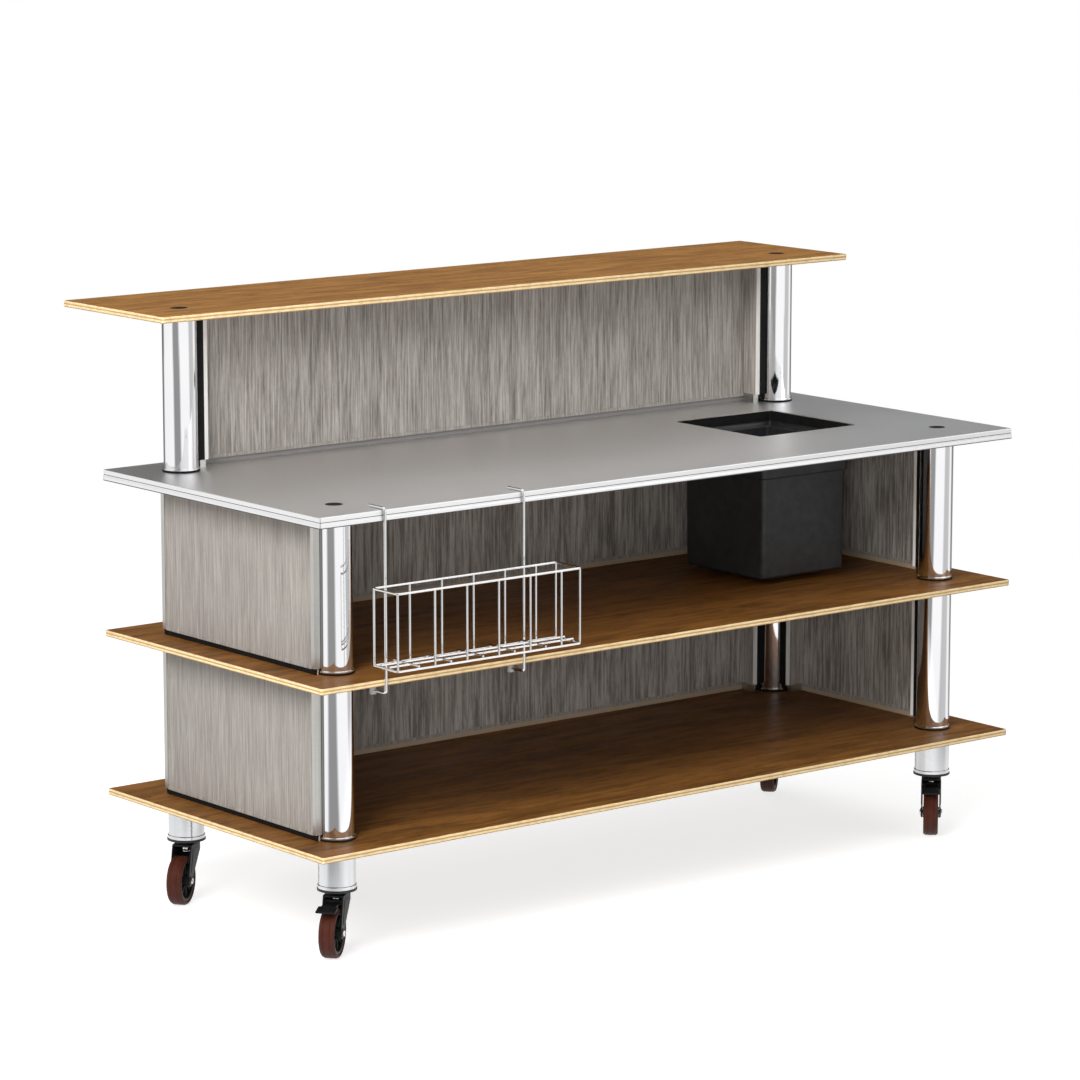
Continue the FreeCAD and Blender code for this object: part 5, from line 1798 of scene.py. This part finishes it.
@dataclass
class BottleRack:
    """The wire rack: two rims, uprights, a floor grid and two hangers with soft tips."""

    left: float = -0.8005
    right: float = -0.3505
    front: float = -0.487025
    rear: float = -0.407025
    floor: float = 0.593
    rim: float = 0.743
    grid: float = 0.5978
    rim_radius: float = 0.0025
    wire_radius: float = 0.00225
    bead_size: float = 1.16
    corner: float = 0.008
    uprights: tuple[float, ...] = (-0.711, -0.6335, -0.556, -0.4785, -0.401)
    bend_set: float = 0.002343
    bars: tuple[float, ...] = (-0.74975, -0.67225, -0.59475, -0.51725, -0.43975)
    hangers: dict[Side, float] = field(default_factory=lambda: {
        Side.LEFT: -0.765, Side.RIGHT: -0.427})
    hanger_radius: float = 0.003
    hanger_line: float = -0.401475
    hook: Flat = (-0.352975, 0.8933)
    toe: Flat = (-0.351975, 0.533)
    hook_bend: float = 0.0065
    bumper_line: float = -0.358975
    bumper_foot: float = 0.5247
    bumper_height: float = 0.022
    bumper_radius: float = 0.007
    bumper_waist: float = 0.0062
    waist_shares: Flat = (0.4, 0.6)
    bumper_round: float = 0.0018

    def wires(self, name: str, paths: Sequence[Sequence[Point]], radius: float,
              bend: float = 0.0, loop: bool = False) -> Mesh:
        """Bends round wires along their paths."""
        return BENT_WIRE.make(name, WIRE, path_mesh(name + "_paths", paths, loop),
                              Wire_Radius=radius, Bend_Radius=bend, Bend_Steps=8,
                              Round_Steps=20)

    def beads(self, name: str, places: Sequence[Point]) -> Mesh:
        """Makes the small weld beads where wires cross.

        Args:
            name: The mesh's name.
            places: Where the wires cross.

        Returns:
            The beads.
        """
        shape = bmesh.new()
        bmesh.ops.create_icosphere(shape, subdivisions=2, radius=self.wire_radius * self.bead_size)
        return copies_at(name, finish_mesh(shape, "bead"), places, WIRE)

    def build_basket(self) -> None:
        """Makes the rims, the two rows of uprights and the floor grid."""
        loops = [[(self.left, self.front, level), (self.right, self.front, level),
                  (self.right, self.rear, level), (self.left, self.rear, level)]
                 for level in (self.floor, self.rim)]
        mesh = self.wires("rack_rims", loops, self.rim_radius, self.corner, loop=True)
        shaded_piece("rack_rims", mesh, "rack", WIRE, "rack_left_side", "rack_right_side")
        for name, line, inward in (("rack_front", self.front, self.bend_set),
                                   ("rack_rear", self.rear, -self.bend_set)):
            spots = [(x, line) for x in self.uprights]
            spots += [(self.left + self.bend_set, line + inward),
                      (self.right - self.bend_set, line + inward)]
            paths = [[(x, y, self.floor), (x, y, self.rim)] for x, y in spots]
            mesh = joined(f"{name}_uprights", [
                self.wires(name + "_wires", paths, self.wire_radius),
                self.beads(name + "_beads", [point for path in paths for point in path])])
            shaded_piece(f"{name}_uprights", mesh, "rack", WIRE, name)
        depth = self.rear - self.front
        lines = [self.front + depth * share / 3 for share in (1, 2)]
        paths = [[(self.left, line, self.grid), (self.right, line, self.grid)] for line in lines]
        paths += [[(x, self.front, self.grid), (x, self.rear, self.grid)] for x in self.bars]
        crossings = [(x, line, self.grid) for x in self.bars for line in lines]
        mesh = joined("rack_floor_grid", [
            self.wires("rack_floor_wires", paths, self.wire_radius),
            self.beads("rack_floor_beads", crossings)])
        shaded_piece("rack_floor_grid", mesh, "rack", WIRE, "rack_floor")

    def build_hangers(self) -> None:
        """Makes the hanger rods and the bumpers on their feet."""
        (hook_end, hook_level), (toe_end, toe_level) = self.hook, self.toe
        for side, x in self.hangers.items():
            name = f"rack_{side.name.lower()}_hanger"
            path = [(x, hook_end, hook_level), (x, self.hanger_line, hook_level),
                    (x, self.hanger_line, toe_level), (x, toe_end, toe_level)]
            mesh = self.wires(name + "_rod", [path], self.hanger_radius, self.hook_bend)
            shaded_piece(name + "_rod", mesh, "rack", WIRE, name)
        high, soft = self.bumper_height, self.bumper_round
        line = self.bumper_radius - soft
        tip = revolve("bumper", [(0.0, 0.0)] + arc((line, soft), soft, -90, 0)
                      + [(self.bumper_waist, high * share) for share in self.waist_shares]
                      + arc((line, high - soft), soft, 0, 90) + [(0.0, high)], SMALL_SEGMENTS)
        places = [(x, self.bumper_line, self.bumper_foot) for x in self.hangers.values()]
        mesh = copies_at("rack_tips", tip, places, BUMPER)
        shaded_piece("rack_tips", mesh, "rack", BUMPER, "rack_bumpers")

    def build(self) -> None:
        """Makes the rack."""
        self.build_basket()
        self.build_hangers()


@dataclass
class Lamp:
    """A soft square lamp."""

    name: str
    place: Point
    size: float
    power: float
    mirrored: bool = True
    aim: Point = (0.0, 0.0, 0.65)

    def build(self) -> None:
        """Hangs the lamp and aims it."""
        light = bpy.data.lights.new(self.name, "AREA")
        light.shape = "SQUARE"
        light.size = self.size
        light.energy = self.power
        aimed_object(self.name, light, self.place, self.aim).visible_glossy = self.mirrored


@dataclass
class Studio:
    """Floor, surroundings, lamps and camera.

    The bands are angles in degrees round the station and the grey that bright metal mirrors there.
    """

    floor_radius: float = 9.0
    floor_steps: int = 96
    fade: Flat = (1.6, 5.0)
    mirror_fade: Flat = (1.0, 1.8)
    surround: float = 0.19
    floor_shade: float = 0.50
    floor_lift: float = 0.74
    bands: tuple[Flat, ...] = (
        (-180, 0.10), (-126, 0.20), (-112, 0.97), (-46, 1.0), (-37, 0.30), (-6, 0.30), (4, 1.0),
        (60, 1.0), (70, 0.55), (100, 0.58), (108, 0.95), (122, 0.95), (136, 0.20), (180, 0.10))
    white: Colour = (1.0, 1.0, 1.0)
    camera_place: Point = (-5.6679, -6.998375, 2.2817)
    camera_aim: Point = (-0.0832, -0.022975, 0.7050)
    lens: float = 145.63
    sensor: float = 36.0
    lamps: tuple[Lamp, ...] = (
        Lamp("key_lamp", (-4.9, -2.6, 3.9), 2.6, 355.0, mirrored=False),
        Lamp("fill_lamp", (3.2, -5.8, 2.6), 3.5, 45.0),
        Lamp("low_lamp", (-3.8, -4.2, 0.9), 2.0, 92.0, mirrored=False),
        Lamp("top_lamp", (1.2, 0.4, 4.8), 6.0, 92.0),
        Lamp("back_lamp", (1.5, 5.0, 3.5), 3.5, 50.0, mirrored=False))

    def backdrop(self, graph: Graph, place: Socket) -> Socket:
        """Gives the background: white to the camera, and soft grey cards to bright metal.

        Args:
            graph: The material's graph.
            place: The point or direction, seen from the middle of the station.

        Returns:
            The background's colour.
        """
        way = Vector(self.camera_place) - Vector(self.camera_aim)
        turn = Matrix.Rotation(-math.atan2(way.y, way.x), 3, "Z")
        rows = [graph.add("ShaderNodeVectorMath", {0: place, 1: row}, operation="DOT_PRODUCT")
                for row in (turn[0], turn[1])]
        angle = graph.math("ARCTAN2", rows[1].outputs["Value"], rows[0].outputs["Value"])
        cards = graph.ramp(graph.span(angle, 0.0, 1.0, -math.pi, math.pi),
                           [((degrees + 180) / 360, grey(tone)) for degrees, tone in self.bands])
        mirror = graph.add("ShaderNodeLightPath").outputs["Is Glossy Ray"]
        return graph.blend(mirror, self.white, cards)

    @staticmethod
    def seen(graph: Graph) -> Socket:
        """Gives 1 for what the camera sees, straight or in metal and glass.

        Args:
            graph: The material's graph.

        Returns:
            The share.
        """
        path = graph.add("ShaderNodeLightPath").outputs
        sharp = graph.math("MAXIMUM", path["Is Camera Ray"], path["Is Glossy Ray"])
        return graph.math("MAXIMUM", sharp, path["Is Transmission Ray"])

    def build_floor(self) -> None:
        """Makes the pale floor, which keeps the shadow and fades to white further out."""
        shape = bmesh.new()
        bmesh.ops.create_circle(shape, cap_ends=True, segments=self.floor_steps,
                                radius=self.floor_radius)
        floor = new_object("floor", saved_mesh(shape, "floor"))
        material, graph = blank(bpy.data.materials, "pale_floor")
        place = graph.add("ShaderNodeTexCoord").outputs["Object"]
        far = graph.add("ShaderNodeVectorMath", {0: place}, operation="LENGTH").outputs["Value"]
        mirror = graph.add("ShaderNodeLightPath").outputs["Is Glossy Ray"]
        share = graph.math(
            "MAXIMUM", graph.product(self.seen(graph), graph.span(far, 0.0, 1.0, *self.fade)),
            graph.product(mirror, graph.span(far, 0.0, 1.0, *self.mirror_fade)))
        dull = graph.add("ShaderNodeBsdfDiffuse", {"Color": grey(self.floor_shade)})
        lift = graph.add("ShaderNodeEmission", {
            "Color": self.white, "Strength": graph.product(self.seen(graph), self.floor_lift)})
        near = graph.add("ShaderNodeAddShader", {0: dull.outputs[0], 1: lift.outputs[0]})
        white = graph.add("ShaderNodeEmission", {"Color": self.backdrop(graph, place),
                                                 "Strength": 1.0})
        both = graph.add("ShaderNodeMixShader", {0: share, 1: near.outputs[0],
                                                 2: white.outputs[0]})
        graph.add("ShaderNodeOutputMaterial", {"Surface": both.outputs[0]})
        floor.data.materials.append(material)

    def build_surroundings(self) -> None:
        """Makes the white background and a dimmer soft light from all round."""
        bpy.context.scene.world, graph = blank(bpy.data.worlds, "white_studio")
        way = graph.add("ShaderNodeTexCoord").outputs["Generated"]
        soft = graph.add("ShaderNodeBackground", {"Color": self.white, "Strength": self.surround})
        white = graph.add("ShaderNodeBackground", {"Color": self.backdrop(graph, way),
                                                   "Strength": 1.0})
        both = graph.add("ShaderNodeMixShader", {0: self.seen(graph), 1: soft.outputs[0],
                                                 2: white.outputs[0]})
        graph.add("ShaderNodeOutputWorld", {"Surface": both.outputs[0]})

    def build_camera(self) -> None:
        """Sets the camera at the photograph's place and angle."""
        lens = bpy.data.cameras.new("photo_camera")
        lens.lens, lens.sensor_width = self.lens, self.sensor
        bpy.context.scene.camera = aimed_object("photo_camera", lens, self.camera_place,
                                                self.camera_aim)

    def build(self) -> None:
        """Sets up the studio."""
        bpy.context.scene.view_settings.view_transform = "Standard"
        self.build_camera()
        self.build_floor()
        self.build_surroundings()
        for lamp in self.lamps:
            lamp.build()


def main() -> None:
    """Builds the studio and every sub-assembly in order."""
    logging.basicConfig(level=logging.INFO, format="%(name)s %(message)s")
    posts = Posts()
    for part in (Studio(), Boards(), posts, Feet(posts), Casters(posts), Panels(), IceBin(),
                 BottleRack()):
        part.build()
        LOG.info("%s done", type(part).__name__)


if __name__ == "__main__":
    main()
